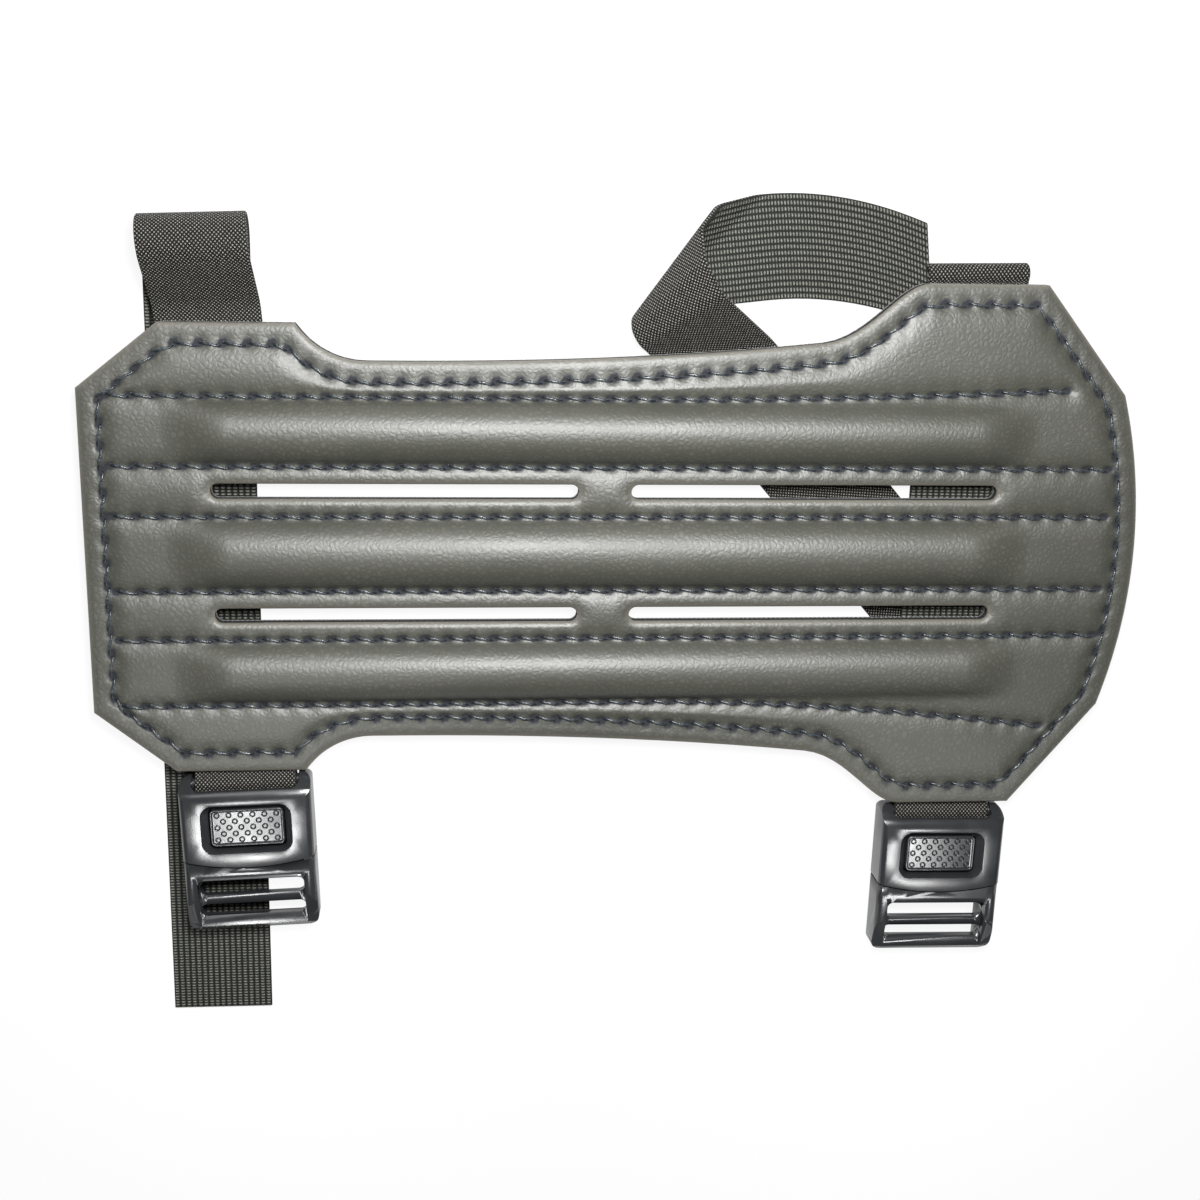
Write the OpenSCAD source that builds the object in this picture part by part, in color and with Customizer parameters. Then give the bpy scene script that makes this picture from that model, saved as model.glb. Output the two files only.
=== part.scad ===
// Archery arm guard: a quilted guard plate of synthetic leather with three padded channels,
// two elastic straps and two press-button buckles, lying on a table with its face up.
// X runs along the guard, Y across it and Z up from the table. Sizes are millimetres.

/* [Guard outline] */
// Overall length of the guard
guard_length = 208; // [190:1:230]
// Half height of the straight left end
left_end_half = 31.8; // [28:0.2:34]
// Half height of the left strap tab
left_tab_half = 44.2; // [42:0.2:47]
// Length of the slope from the left end up to the left tab
left_tab_run = 15.5; // [12:0.5:20]
// Length of the left tab's flat edge
left_tab_flat = 25.3; // [22:0.1:30]
// Radius of the curve between the left tab and the waist
waist_curve_radius = 15.8; // [12:0.2:20]
// Half height of the waist at its narrowest
waist_half = 37.2; // [36:0.2:39]
// How much the waist widens towards the right tab
waist_rise = 4.3; // [2:0.1:6]
// Half height of the right strap tab
right_tab_half = 53.2; // [50:0.2:57]
// Length of the right tab's flat edge
right_tab_flat = 23.5; // [22:0.5:28]
// Length of the slope from the right end up to the right tab
right_tab_run = 22.2; // [18:0.2:26]
// Length of the curved shoulder between the waist and the right tab
right_shoulder_run = 20.3; // [16:0.1:24]
// Half height of the rounded right end
right_end_half = 32; // [28:0.5:36]
// How far the right end bulges outwards
right_end_bulge = 4.9; // [3:0.1:7]

/* [Panel layers] */
// Thickness of the lining on the forearm side
lining_t = 0.8; // [0.5:0.1:1.5]
// Thickness of the foam interlining
foam_t = 1.4; // [1:0.1:3]
// Thickness of the outer leather
leather_t = 1.2; // [0.8:0.1:1.6]

/* [Padded channels] */
// Half width of the middle channel's ridge
middle_channel_half = 6.6; // [5.5:0.1:7]
// Half width of the two outer channels' ridges
outer_channel_half = 5.9; // [5:0.1:6.2]
// Distance from the guard's long axis to the outer channels' middle lines
outer_channel_y = 23.8; // [23:0.1:25]
// Height of the ridges above the flat leather
crown_height = 3.2; // [2.6:0.1:4]
// Distance from the guard's left end to the ridges
channel_left_inset = 15; // [12:0.5:22]
// Distance from the guard's right end to the ridges
channel_right_inset = 22; // [18:0.5:30]
// Length of the slope at each end of a ridge
channel_ramp = 12; // [8:0.5:20]
// Width of the stiffening stay in each channel
stay_w = 8; // [5:0.2:8.4]
// Thickness of the stiffening stays
stay_t = 0.8; // [0.5:0.1:1.2]
// Clearance round the padding strips
padding_gap = 0.1; // [0.05:0.05:0.3]

/* [Slots] */
// Height of the four long slots
slot_height = 3; // [2:0.1:4]
// Distance from the guard's long axis to the slots' middle lines
slot_y = 12.3; // [11.6:0.1:13]
// Distance from the guard's left end to the left slots
left_slot_inset = 24; // [18:0.5:30]
// Length of the left slots
left_slot_length = 70.7; // [50:0.1:76]
// Width of the bridge between the left and right slots
slot_bridge = 10.3; // [6:0.1:16]
// Length of the right slots
right_slot_length = 73.5; // [50:0.5:76]

/* [Stitching] */
// Distance from the guard's edge to the seam round it
seam_inset = 4; // [3:0.1:5]
// Distance from a ridge's foot to the seam beside it
seam_margin = 0.8; // [0.6:0.1:1.2]
// Distance from one stitch to the next
stitch_pitch = 4.5; // [3.5:0.1:6]
// Length of a visible stitch
stitch_length = 3.2; // [2:0.1:3.4]
// Thickness of the thread
thread_d = 0.9; // [0.5:0.1:1.2]
// Distance from the guard's left end to the channel seams
seam_left_inset = 5.5; // [5:0.5:9]
// Distance from the guard's right end to the inner channel seams
seam_right_inset = 7; // [6:0.5:12]
// Distance from the guard's right end to the outer channel seams
outer_seam_right_inset = 17; // [15:0.5:22]
// Distance from the guard's middle to where the outer seams start to spread
seam_spread_start = 10; // [0:1:40]
// Spread of the top seam at the right
top_seam_spread = 2.2; // [0:0.1:3]
// Spread of the bottom seam at the right
bottom_seam_spread = 6; // [0:0.1:7]

/* [Straps] */
// Width of the elastic straps
strap_width = 20; // [18:0.5:20]
// Thickness of the elastic
strap_t = 1; // [0.8:0.1:1.2]
// Clearance between two layers of strap behind the guard
layer_gap = 0.2; // [0.1:0.05:0.4]
// Length of strap sewn behind a tab
sewn_length = 14; // [10:0.5:18]
// Distance from the guard's left end to the left strap's middle
left_strap_inset = 25.6; // [22:0.2:29]
// Turn of the left strap away from square
left_strap_turn_angle = 5; // [0:0.2:6]
// Skew of the left strap's loop
left_loop_skew_angle = -2.6; // [-4:0.1:0]
// Angle at which the left loop rises
left_loop_rise_angle = 39; // [30:1:50]
// Radius of the bend at the left loop's foot
left_loop_foot_radius = 5; // [3:0.2:7]
// Radius of the left loop's top
left_loop_radius = 5; // [3:0.2:6]
// How far the left loop's foot lies outside the tab
left_loop_outset = 1.4; // [0.5:0.1:3]
// Length of the left strap from its loop to its free end
left_run_length = 157; // [140:1:165]
// Distance from the guard's right end to the right strap's middle
right_strap_inset = 34.7; // [33:0.1:37]
// Turn of the right strap away from square
right_strap_turn_angle = 2.8; // [1:0.1:4]
// Skew of the right strap's loop
right_loop_skew_angle = -1.7; // [-3:0.1:0]
// Angle at which the right loop rises
right_loop_rise_angle = 34.6; // [34:0.1:38]
// Radius of the bend at the right loop's foot
right_loop_foot_radius = 1; // [0.8:0.1:1.2]
// Radius of the right loop's top
right_loop_radius = 1.5; // [1.4:0.1:2]
// How far the right loop's foot lies outside the tab
right_loop_outset = 0; // [0:0.1:0.5]
// Length of the right strap from its loop to the fold under the guard
right_run_length = 71.8; // [66:0.2:76]
// Skew of the fold under the guard
under_fold_skew_angle = -21; // [-23:0.2:-19]
// Length of the right strap from that fold to its curl
diagonal_length = 68.4; // [66:0.1:70]
// Angle at which the strap rises into the curl
curl_rise_angle = 47.1; // [46.6:0.1:47.6]
// Total turn of the curl
curl_turn_angle = 213.6; // [213.4:0.1:213.8]
// Radius where the curl begins
curl_start_radius = 3; // [2.9:0.1:3.2]
// Radius where the curl ends
curl_end_radius = 3.1; // [3:0.1:3.3]
// Length of the right strap's free end on the table
free_end_length = 32.5; // [28:0.5:40]
// Sideways bow of the right strap's free end
free_end_bow = 8.6; // [0:0.1:9]

/* [Buckles] */
// Clearance at each side of the elastic inside a buckle
strap_side_gap = 0.6; // [0.4:0.1:1]
// Width of the buckle beside each end of its bar
cheek_w = 2.4; // [2:0.1:3]
// Thickness of the socket's side walls
socket_wall = 2.8; // [2.5:0.1:3]
// Thickness of the buckle's socket
socket_t = 8; // [7.5:0.1:9]
// Height of the bar's axis above the socket's underside
bar_height = 3; // [2.8:0.1:3.2]
// Radius of the bar that the elastic loop holds
bar_r = 1.3; // [1:0.05:1.4]
// Clearance between the bar and the elastic loop
bar_gap = 0.1; // [0.05:0.05:0.15]
// Distance from a tab's edge to the bar's axis
bar_offset = 2.9; // [2.9:0.1:4]
// Distance from the guard's left end to the left buckle's middle
left_buckle_inset = 28.7; // [24:0.1:32]
// Turn of the left buckle away from square
left_buckle_turn_angle = 2; // [-4:0.5:4]
// Distance from the guard's right end to the right buckle's middle
right_buckle_inset = 35.8; // [34:0.1:38]
// Turn of the right buckle away from square
right_buckle_turn_angle = -1; // [-4:0.5:4]
// Distance from the bar to the socket's far edge
socket_length = 16.4; // [16:0.1:18]
// Distance from the bar's axis to the front edge of the socket's roof
roof_edge_y = 0.5; // [0.3:0.1:1]
// Radius of the curved split between socket and plug
split_radius = 50; // [40:1:80]
// Gap at the split
split_gap = 0.4; // [0.3:0.1:0.8]
// Length of the plug's ladder beyond the socket
ladder_length = 14.6; // [14:0.1:16]
// Height of the ladder's inner slot
inner_slot_h = 3.1; // [2.6:0.1:3.2]
// Height of the ladder's outer slot
outer_slot_h = 2.5; // [2:0.1:2.6]
// Width of the bar between the ladder's slots
ladder_bar_w = 1.9; // [1.7:0.1:2.2]
// Thickness of the ladder's bars
ladder_bar_t = 1.6; // [1.4:0.1:2]
// Distance from the buckle's side to the dish round the button
dish_margin = 4; // [3.5:0.1:4.5]
// Height of the dish round the button
dish_h = 10.2; // [9.6:0.1:10.6]
// Distance from the buckle's side to the button's pad
pad_margin = 5.7; // [5.5:0.1:6.5]
// Height of the button's pad
pad_h = 7.8; // [7:0.1:8]
// Clearance round the pad
pad_gap = 0.3; // [0.2:0.05:0.4]
// Clearance beyond the pad's far edge, which swings outwards when pressed
pad_swing_gap = 0.7; // [0.65:0.05:1]
// Clearance between the plug and the inside of the socket
slide_gap = 0.3; // [0.2:0.05:0.4]
// Outer diameter of the rings on the pad
ring_d = 1.26; // [1:0.02:1.4]
// Distance from the pad's rim to the first ring
ring_margin = 0.35; // [0.3:0.05:0.6]
// Distance between rows of rings
ring_row_pitch = 1.3; // [1.1:0.05:1.35]

/* [Hidden] */

leather_color = [0.40, 0.40, 0.35];
lining_color = [0.16, 0.16, 0.15];
foam_color = [0.16, 0.16, 0.16];
stay_color = [0.75, 0.75, 0.72];
thread_color = [0.07, 0.10, 0.12];
elastic_color = [0.20, 0.20, 0.19];
plastic_color = [0.13, 0.13, 0.14];

tiny = 0.01;
curve_steps = 12;
round_fn = 48;

// Heights of the layers. The lining clears two layers of strap and the sewn strap end.
sewn_top_z = 3 * strap_t + layer_gap;
lining_z = sewn_top_z;
foam_z = lining_z + lining_t;
leather_z = foam_z + foam_t;
face_z = leather_z + leather_t;
left_x = -guard_length / 2;
right_x = guard_length / 2;

// Outline of the guard, symmetric about its long axis, clockwise from the top left
left_tab_x = left_x + left_tab_run;
left_tab_end_x = left_tab_x + left_tab_flat;
right_tab_end_x = right_x - right_tab_run;
right_tab_x = right_tab_end_x - right_tab_flat;
shoulder_x = right_tab_x - right_shoulder_run;
waist_drop = left_tab_half - waist_half;
waist_curve_angle = acos((waist_curve_radius - waist_drop) / waist_curve_radius);
waist_x = left_tab_end_x + waist_curve_radius * sin(waist_curve_angle);
waist_power = 2.2;
waist_slope = waist_power * waist_rise / (shoulder_x - waist_x);
end_radius = (pow(right_end_half, 2) + pow(right_end_bulge, 2)) / (2 * right_end_bulge);
end_angle = asin(right_end_half / end_radius);

function bezier(a, b, c, d, t) =
  pow(1 - t, 3) * a + 3 * t * pow(1 - t, 2) * b + 3 * t * t * (1 - t) * c + pow(t, 3) * d;

function left_half() = [
  [left_x, left_end_half],
  [left_tab_x, left_tab_half],
  for (i = [0 : curve_steps])
    let (a = waist_curve_angle * (1 - i / curve_steps))
    [waist_x - waist_curve_radius * sin(a),
     waist_half + waist_curve_radius * (1 - cos(a))],
];

function waist_line() = [
  for (i = [1 : curve_steps - 1])
    let (u = i / curve_steps)
    [waist_x + u * (shoulder_x - waist_x), waist_half + waist_rise * pow(u, waist_power)]
];

function shoulder() =
  let (
    start = [shoulder_x, waist_half + waist_rise],
    handle = right_shoulder_run * 0.44,
    leave = start + handle * [1, waist_slope],
    finish = [right_tab_x, right_tab_half],
    arrive = finish - [right_shoulder_run * 0.28, 0]
  )
  [for (i = [0 : curve_steps]) bezier(start, leave, arrive, finish, i / curve_steps)];

function right_end() = [
  [right_tab_end_x, right_tab_half],
  for (i = [0 : curve_steps - 1])
    let (a = end_angle * (1 - i / curve_steps))
    [right_x - end_radius * (1 - cos(a)), end_radius * sin(a)],
  [right_x, 0]
];

function upper_half() = concat(left_half(), waist_line(), shoulder(), right_end());

function outline() =
  let (top = upper_half(), n = len(top))
  concat(top, [for (i = [n - 2 : -1 : 0]) [top[i][0], -top[i][1]]]);

function unit(v) = v / norm(v);

// Each corner of a clockwise outline moved inwards by the same distance from both its edges
function inset_outline(points, distance) =
  let (n = len(points))
  [for (i = [0 : n - 1])
    let (
      before = unit(points[i] - points[(i + n - 1) % n]),
      after = unit(points[(i + 1) % n] - points[i]),
      turn_in = [before[1] + after[1], -before[0] - after[0]]
    )
    points[i] + turn_in * distance / (1 + before * after)];

// Distance along a path up to each of its points
function path_lengths(points, i = 0, so_far = [0]) =
  i >= len(points) - 1 ? so_far
  : path_lengths(points, i + 1,
      concat(so_far, [so_far[i] + norm(points[i + 1] - points[i])]));

function first_beyond(lengths, s, i = 1) =
  i >= len(lengths) - 1 || lengths[i] >= s ? i : first_beyond(lengths, s, i + 1);

// Place and heading on a path at a distance along it
function along(points, lengths, s) =
  let (
    i = first_beyond(lengths, s),
    step = points[i] - points[i - 1],
    u = (s - lengths[i - 1]) / max(norm(step), tiny)
  )
  [points[i - 1] + u * step, atan2(step[1], step[0])];

// Bends that turn a flat strap into its lying form. Each is [start, skew, radius, angle]:
// a positive angle bends the strap towards its upper side, about a line that is skewed
// from square across the strap. The strap starts flat at its sewn end.
function bend_length(b) = b[2] * abs(b[3]) * PI / 180 / cos(b[1]);

function bent(s, w, p, b) =
  let (
    c = cos(b[1]), k = sin(b[1]), side = sign(b[3]), full = abs(b[3]),
    t = (s - b[0]) * c + w * k,
    a = min(max(t / b[2] * 180 / PI, 0), full),
    beyond = t * 180 / PI > b[2] * full,
    across = -(p[0] - b[0]) * k + p[1] * c,
    ahead = (p[0] - b[0]) * c + p[1] * k,
    z = p[2] * side,
    rest = beyond ? ahead - b[2] * full * PI / 180 : 0,
    reach = t <= 0 ? ahead : (b[2] - z) * sin(a) + rest * cos(a),
    rise = t <= 0 ? z : b[2] - (b[2] - z) * cos(a) + rest * sin(a)
  )
  [b[0] + reach * c - across * k, reach * k + across * c, rise * side];

function bent_point(s, w, p, bends, i) =
  i < 0 ? p : bent_point(s, w, bent(s, w, p, bends[i]), bends, i - 1);

function strap_point(s, w, z, bends) = bent_point(s, w, [s, w, z], bends, len(bends) - 1);

// Turns the strap's own frame, which starts by running up the page, into the guard's frame
function placed(p, x, y, z, turn) =
  [x - p[1] * cos(turn) - p[0] * sin(turn), y - p[1] * sin(turn) + p[0] * cos(turn), z + p[2]];

// The foot bend and the curl of a loop that starts level at one height and returns level
// at another, with a straight piece between them that makes up the height
function loop_straight(rise, foot, radius, from_z, to_z) =
  max((to_z - from_z - foot * (1 - cos(rise)) + radius * (1 + cos(rise))) / sin(rise), 0);

function loop_bends(start, skew, rise, foot, radius, from_z, to_z) =
  let (
    first = [start, skew, foot, rise],
    straight = loop_straight(rise, foot, radius, from_z, to_z) / cos(skew)
  )
  [first, [start + bend_length(first) + straight, skew, radius, -(180 + rise)]];

function bend_end(b) = b[0] + bend_length(b);

sewn_z = sewn_top_z - strap_t / 2;
table_strap_z = strap_t / 2;
over_strap_z = table_strap_z + strap_t + layer_gap;

left_bends = loop_bends(sewn_length, left_loop_skew_angle, left_loop_rise_angle, left_loop_foot_radius,
  left_loop_radius, sewn_z, table_strap_z);
left_strap_length = bend_end(left_bends[1]) + left_run_length;
left_start_y = left_tab_half + left_loop_outset - sewn_length;

// The right strap climbs over its own diagonal run, folds under, and curls over at its end.
// The diagonal run lies a hair above the table, so that the curl's foot clears it.
climb_start = 12;
climb_angle = 4;
climb_radius = 30;
climb_straight = (over_strap_z - table_strap_z - 2 * climb_radius * (1 - cos(climb_angle)))
  / sin(climb_angle);
diagonal_lift = 0.14;
under_fold_radius = (over_strap_z - table_strap_z - diagonal_lift) / 2;
curl_parts = 5;
curl_rise_skew_angle = -36.3;
curl_rise_radius = 10.5;
curl_rise_gap = 9.7;
curl_start_skew_angle = 5.2;
curl_end_skew_angle = 50.9;
curl_part_gap = 2.3;
settle_gap = 6.2;
settle_skew_angle = 54.4;
settle_radius = 26.3;
settle_angle = 3.2;

right_loop = loop_bends(sewn_length, right_loop_skew_angle, right_loop_rise_angle,
  right_loop_foot_radius, right_loop_radius, sewn_z, table_strap_z);
right_run_start = bend_end(right_loop[1]);
climb = [right_run_start + climb_start, 0, climb_radius, -climb_angle];
level = [bend_end(climb) + climb_straight, 0, climb_radius, climb_angle];
under_fold = [right_run_start + right_run_length, under_fold_skew_angle, under_fold_radius, 180];
curl_foot = [bend_end(under_fold) + diagonal_length, curl_rise_skew_angle, curl_rise_radius,
  curl_rise_angle];
curl_foot_length = curl_rise_radius * curl_rise_angle * PI / 180;

function curl_part(i) =
  let (
    u = i / (curl_parts - 1),
    skew = curl_start_skew_angle + u * (curl_end_skew_angle - curl_start_skew_angle),
    radius = curl_start_radius + u * (curl_end_radius - curl_start_radius),
    start = i == 0 ? curl_foot[0] + curl_foot_length + curl_rise_gap
      : bend_end(curl_part(i - 1)) + curl_part_gap
  )
  [start, skew, radius, -curl_turn_angle / curl_parts];

curl = [for (i = [0 : curl_parts - 1]) curl_part(i)];
settle = [bend_end(curl[curl_parts - 1]) + curl_part_gap + settle_gap, settle_skew_angle,
  settle_radius, settle_angle];
right_bends = concat(right_loop, [climb, level, under_fold, curl_foot], curl, [settle]);
free_end_start = settle[0] + settle_radius * settle_angle * PI / 180;
right_strap_length = free_end_start + free_end_length;
right_start_y = right_tab_half + right_loop_outset - sewn_length;

// Stations along a strap: its ends, and a few in each bend, each with its skew
bend_steps = 6;
bow_lead = 16;
function stations(bends, length) = concat(
  [[0, 0]],
  [for (b = bends) for (i = [0 : bend_steps]) [b[0] + bend_length(b) * i / bend_steps, b[1]]],
  [[length, 0]]
);

// In-plane bow of the strap's free end, growing towards its tip
function bowed(s, w, bow, bow_start, length) =
  w + bow * pow(max((s - bow_start) / (length - bow_start), 0), 2);

function strap_ring(station, bends, length, bow, bow_start, place) = [
  for (corner = [[-1, -1], [1, -1], [1, 1], [-1, 1]])
    let (
      flat_w = corner[0] * strap_width / 2,
      s = station[0] - flat_w * tan(station[1]),
      w = bowed(s, flat_w, bow, bow_start, length)
    )
    placed(strap_point(s, w, corner[1] * strap_t / 2, bends),
      place[0], place[1], sewn_z, place[2])
];

function bow_stations(start, length) =
  [for (i = [1 : bend_steps - 1]) [start + (length - start) * i / bend_steps, 0]];

left_place = [left_x + left_strap_inset, left_start_y, left_strap_turn_angle];
right_place = [right_x - right_strap_inset, right_start_y, right_strap_turn_angle];
left_rings = [for (k = stations(left_bends, left_strap_length))
  strap_ring(k, left_bends, left_strap_length, 0, 0, left_place)];
right_stations = stations(right_bends, right_strap_length);
right_last = len(right_stations) - 1;
right_rings = [for (k = concat(
    [for (i = [0 : right_last - 1]) right_stations[i]],
    bow_stations(free_end_start + bow_lead, right_strap_length),
    [right_stations[right_last]]))
  strap_ring(k, right_bends, right_strap_length, free_end_bow, free_end_start, right_place)];

// The origin lies under the middle of everything, straps included, on the table
strap_ys = [for (ring = concat(left_rings, right_rings)) for (p = ring) p[1]];
axis_y = -(max(strap_ys) + min(strap_ys)) / 2;

module ribbon(rings) {
  n = len(rings);
  points = [for (ring = rings) for (p = ring) p];
  sides = [for (i = [0 : n - 2]) for (j = [0 : 3])
    let (a = 4 * i + j, b = 4 * i + (j + 1) % 4)
    each [[a, b, b + 4], [a, b + 4, a + 4]]];
  last = 4 * (n - 1);
  ends = [[0, 2, 1], [0, 3, 2], [last, last + 1, last + 2], [last, last + 2, last + 3]];
  polyhedron(points, concat(sides, ends));
}

module on_guard() {
  translate([0, axis_y, 0]) children();
}

module rounded_rect(x0, y0, x1, y1, r) {
  translate([x0 + r, y0]) square([x1 - x0 - 2 * r, y1 - y0]);
  translate([x0, y0 + r]) square([x1 - x0, y1 - y0 - 2 * r]);
  for (x = [x0 + r, x1 - r], y = [y0 + r, y1 - r])
    translate([x, y]) circle(r, $fn = round_fn);
}

// A shape drawn in Y and Z, drawn out along X about the middle
module along_x(width) {
  rotate([90, 0, 90]) linear_extrude(width, center = true) children();
}

module slot_shapes() {
  right_slot_x = left_x + left_slot_inset + left_slot_length + slot_bridge;
  for (side = [-1, 1], slot = [[left_x + left_slot_inset, left_slot_length],
                               [right_slot_x, right_slot_length]])
    translate([slot[0], side * slot_y - slot_height / 2])
      rounded_rect(0, 0, slot[1], slot_height, slot_height / 2 - tiny);
}

module flat_layer(z, thickness) {
  translate([0, 0, z]) linear_extrude(thickness) difference() {
    polygon(outline());
    slot_shapes();
  }
}

// A bar with a round crown and sloping ends, for the ridges, their hollows and the padding.
// inside is how far it lies within the ridge's outer face.
ridge_x0 = left_x + channel_left_inset;
ridge_x1 = right_x - channel_right_inset;

module crowned_bar(y, half, inside, floor_z) {
  radius = (pow(half, 2) + pow(crown_height, 2)) / (2 * crown_height);
  center_z = face_z + crown_height - radius;
  top_z = face_z + crown_height - inside;
  slope = crown_height / channel_ramp;
  x0 = ridge_x0 + inside / sin(atan(slope));
  x1 = ridge_x1 - inside / sin(atan(slope));
  foot_run = (top_z + tiny - floor_z) / slope;
  crown_run = channel_ramp - (inside > 0 ? inside / slope - inside / sin(atan(slope)) : 0);
  foot_x = crown_run - foot_run;
  intersection() {
    translate([0, y, center_z]) along_x(guard_length) circle(radius - inside, $fn = 96);
    translate([0, y + half + 1, 0]) rotate([90, 0, 0]) linear_extrude(2 * half + 2)
      polygon([
        [x0 + foot_x, floor_z], [x0 + crown_run, top_z + tiny],
        [x1 - crown_run, top_z + tiny], [x1 - foot_x, floor_z]
      ]);
  }
}

channels = [
  [outer_channel_y, outer_channel_half],
  [0, middle_channel_half],
  [-outer_channel_y, outer_channel_half]
];

module outer_leather_panel() {
  color(leather_color) on_guard() difference() {
    union() {
      flat_layer(leather_z, leather_t);
      for (c = channels) crowned_bar(c[0], c[1], 0, face_z - leather_t / 2);
    }
    for (c = channels) crowned_bar(c[0], c[1], leather_t, leather_z);
  }
}

module lining_panel() {
  color(lining_color) on_guard() flat_layer(lining_z, lining_t);
}

module foam_interlining() {
  color(foam_color) on_guard() flat_layer(foam_z, foam_t);
}

module padding_strip(c) {
  color(foam_color) on_guard()
    crowned_bar(c[0], c[1], leather_t + padding_gap, leather_z + stay_t);
}

module padding_strip_top() { padding_strip(channels[0]); }
module padding_strip_middle() { padding_strip(channels[1]); }
module padding_strip_bottom() { padding_strip(channels[2]); }

module stay(c) {
  color(stay_color) on_guard() translate([0, c[0] - stay_w / 2, leather_z])
    linear_extrude(stay_t)
      rounded_rect(ridge_x0 + channel_ramp, 0, ridge_x1 - channel_ramp, stay_w,
        stay_w / 2 - tiny);
}

module stay_top() { stay(channels[0]); }
module stay_middle() { stay(channels[1]); }
module stay_bottom() { stay(channels[2]); }

// A row of separate stitches, each lying on the leather along the path
module stitch_row(points) {
  lengths = path_lengths(points);
  total = lengths[len(lengths) - 1];
  count = floor(total / stitch_pitch);
  pitch = total / count;
  for (i = [0 : count - 1]) {
    spot = along(points, lengths, (i + 0.5) * pitch);
    translate([spot[0][0], spot[0][1], face_z + thread_d / 4])
      rotate(spot[1]) cube([stitch_length, thread_d, thread_d / 2], center = true);
  }
}

module edge_stitching() {
  ring = inset_outline(outline(), seam_inset);
  color(thread_color) on_guard() stitch_row(concat(ring, [ring[0]]));
}

seam_x0 = left_x + seam_left_inset;
seam_x1 = right_x - seam_right_inset;
outer_seam_x1 = right_x - outer_seam_right_inset;
spread_power = 1.6;

function seam_path(y, x1, spread) = [
  for (i = [0 : curve_steps])
    let (
      x = seam_x0 + (x1 - seam_x0) * i / curve_steps,
      u = max(x - seam_spread_start, 0) / (outer_seam_x1 - seam_spread_start)
    )
    [x, y + spread * pow(u, spread_power)]
];

// The two seams of an outer channel: the inner one straight, the outer one spreading
module outer_channel_stitching(side, spread) {
  reach = outer_channel_half + seam_margin;
  color(thread_color) on_guard() {
    stitch_row(seam_path(side * (outer_channel_y - reach), seam_x1, 0));
    stitch_row(seam_path(side * (outer_channel_y + reach), outer_seam_x1, side * spread));
  }
}

module channel_stitching_top() { outer_channel_stitching(1, top_seam_spread); }
module channel_stitching_bottom() { outer_channel_stitching(-1, bottom_seam_spread); }

module channel_stitching_middle() {
  color(thread_color) on_guard() for (side = [-1, 1])
    stitch_row(seam_path(side * (middle_channel_half + seam_margin), seam_x1, 0));
}

module left_strap() {
  color(elastic_color) on_guard() ribbon(left_rings);
}

module right_strap() {
  color(elastic_color) on_guard() ribbon(right_rings);
}

// Buckles are drawn with the bar's axis at the origin, running away from the guard along -Y
left_buckle_z = strap_t + layer_gap + bar_height;
right_buckle_z = bar_height;

module left_buckle() {
  on_guard() translate([left_x + left_buckle_inset, -left_tab_half - bar_offset, left_buckle_z])
    rotate(left_buckle_turn_angle) children();
}

module right_buckle() {
  on_guard() translate([right_x - right_buckle_inset, -right_tab_half - bar_offset, right_buckle_z])
    rotate(right_buckle_turn_angle) children();
}

// The short elastic loop: an eye round the bar, and its two layers sewn behind the tab
module buckle_loop(buckle_z) {
  eye_inner = bar_r + bar_gap;
  eye_outer = eye_inner + strap_t;
  eye_middle = eye_inner + strap_t / 2;
  ply_top = lining_z - buckle_z;
  ply_bottom = ply_top - 2 * strap_t;
  bend_y = bar_offset - strap_t / 2;
  difference() {
    union() {
      along_x(strap_width) circle(eye_outer, $fn = round_fn);
      along_x(strap_width) polygon([
        eye_middle * [cos(-70), sin(-70)], eye_middle * [cos(-10), sin(-10)],
        [bend_y, ply_top], [bar_offset + sewn_length, ply_top],
        [bar_offset + sewn_length, ply_bottom], [bend_y, ply_bottom]
      ]);
    }
    along_x(strap_width + 1) circle(eye_inner, $fn = round_fn);
  }
}

module left_buckle_loop() {
  color(elastic_color) left_buckle() buckle_loop(left_buckle_z);
}

module right_buckle_loop() {
  color(elastic_color) right_buckle() buckle_loop(right_buckle_z);
}

// Sizes inside the buckle
ladder_slot_w = strap_width + 2 * strap_side_gap;
buckle_w = ladder_slot_w + 2 * cheek_w;
dish_w = buckle_w - 2 * dish_margin;
pad_w = buckle_w - 2 * pad_margin;
socket_top = socket_t - bar_height;
socket_floor = 1;
socket_roof = 2.6;
cheek_r = 2.1;
window_far = bar_r + bar_gap + strap_t + 0.5;
roof_under_z = window_far + 0.2;
cavity_near = window_far + 1.5;
cavity_w = buckle_w - 2 * socket_wall;
cavity_floor_z = -bar_height + socket_floor;
cavity_roof_z = socket_top - socket_roof;
button_y = -(cavity_near + pad_h / 2);
corner_r = 2;
edge_r = 1.2;

module split_disc(extra) {
  translate([0, split_radius - socket_length, -bar_height - 1])
    cylinder(r = split_radius + extra, h = socket_t + 2, $fn = 200);
}

// Outside of the socket: its side view, its plan and its rounded cross section together
module socket_body() {
  far = socket_length + 1;
  intersection() {
    along_x(buckle_w) {
      circle(cheek_r, $fn = round_fn);
      polygon([
        [cheek_r * cos(45), cheek_r * sin(45)], [-roof_edge_y, socket_top - 0.7],
        [-roof_edge_y - 1.2, socket_top], [-window_far - 1, socket_top],
        [-window_far - 1, -bar_height], [0, -cheek_r]
      ]);
      translate([-far, -bar_height]) square([far - window_far - 1 + tiny, socket_t]);
    }
    translate([0, 0, -bar_height]) linear_extrude(socket_t)
      rounded_rect(-buckle_w / 2, -far - corner_r, buckle_w / 2, cheek_r + tiny, corner_r);
    translate([0, cheek_r + 1, 0]) rotate([90, 0, 0]) linear_extrude(far + cheek_r + 1)
      rounded_rect(-buckle_w / 2, -bar_height, buckle_w / 2, socket_top, edge_r);
    split_disc(0);
  }
}

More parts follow.
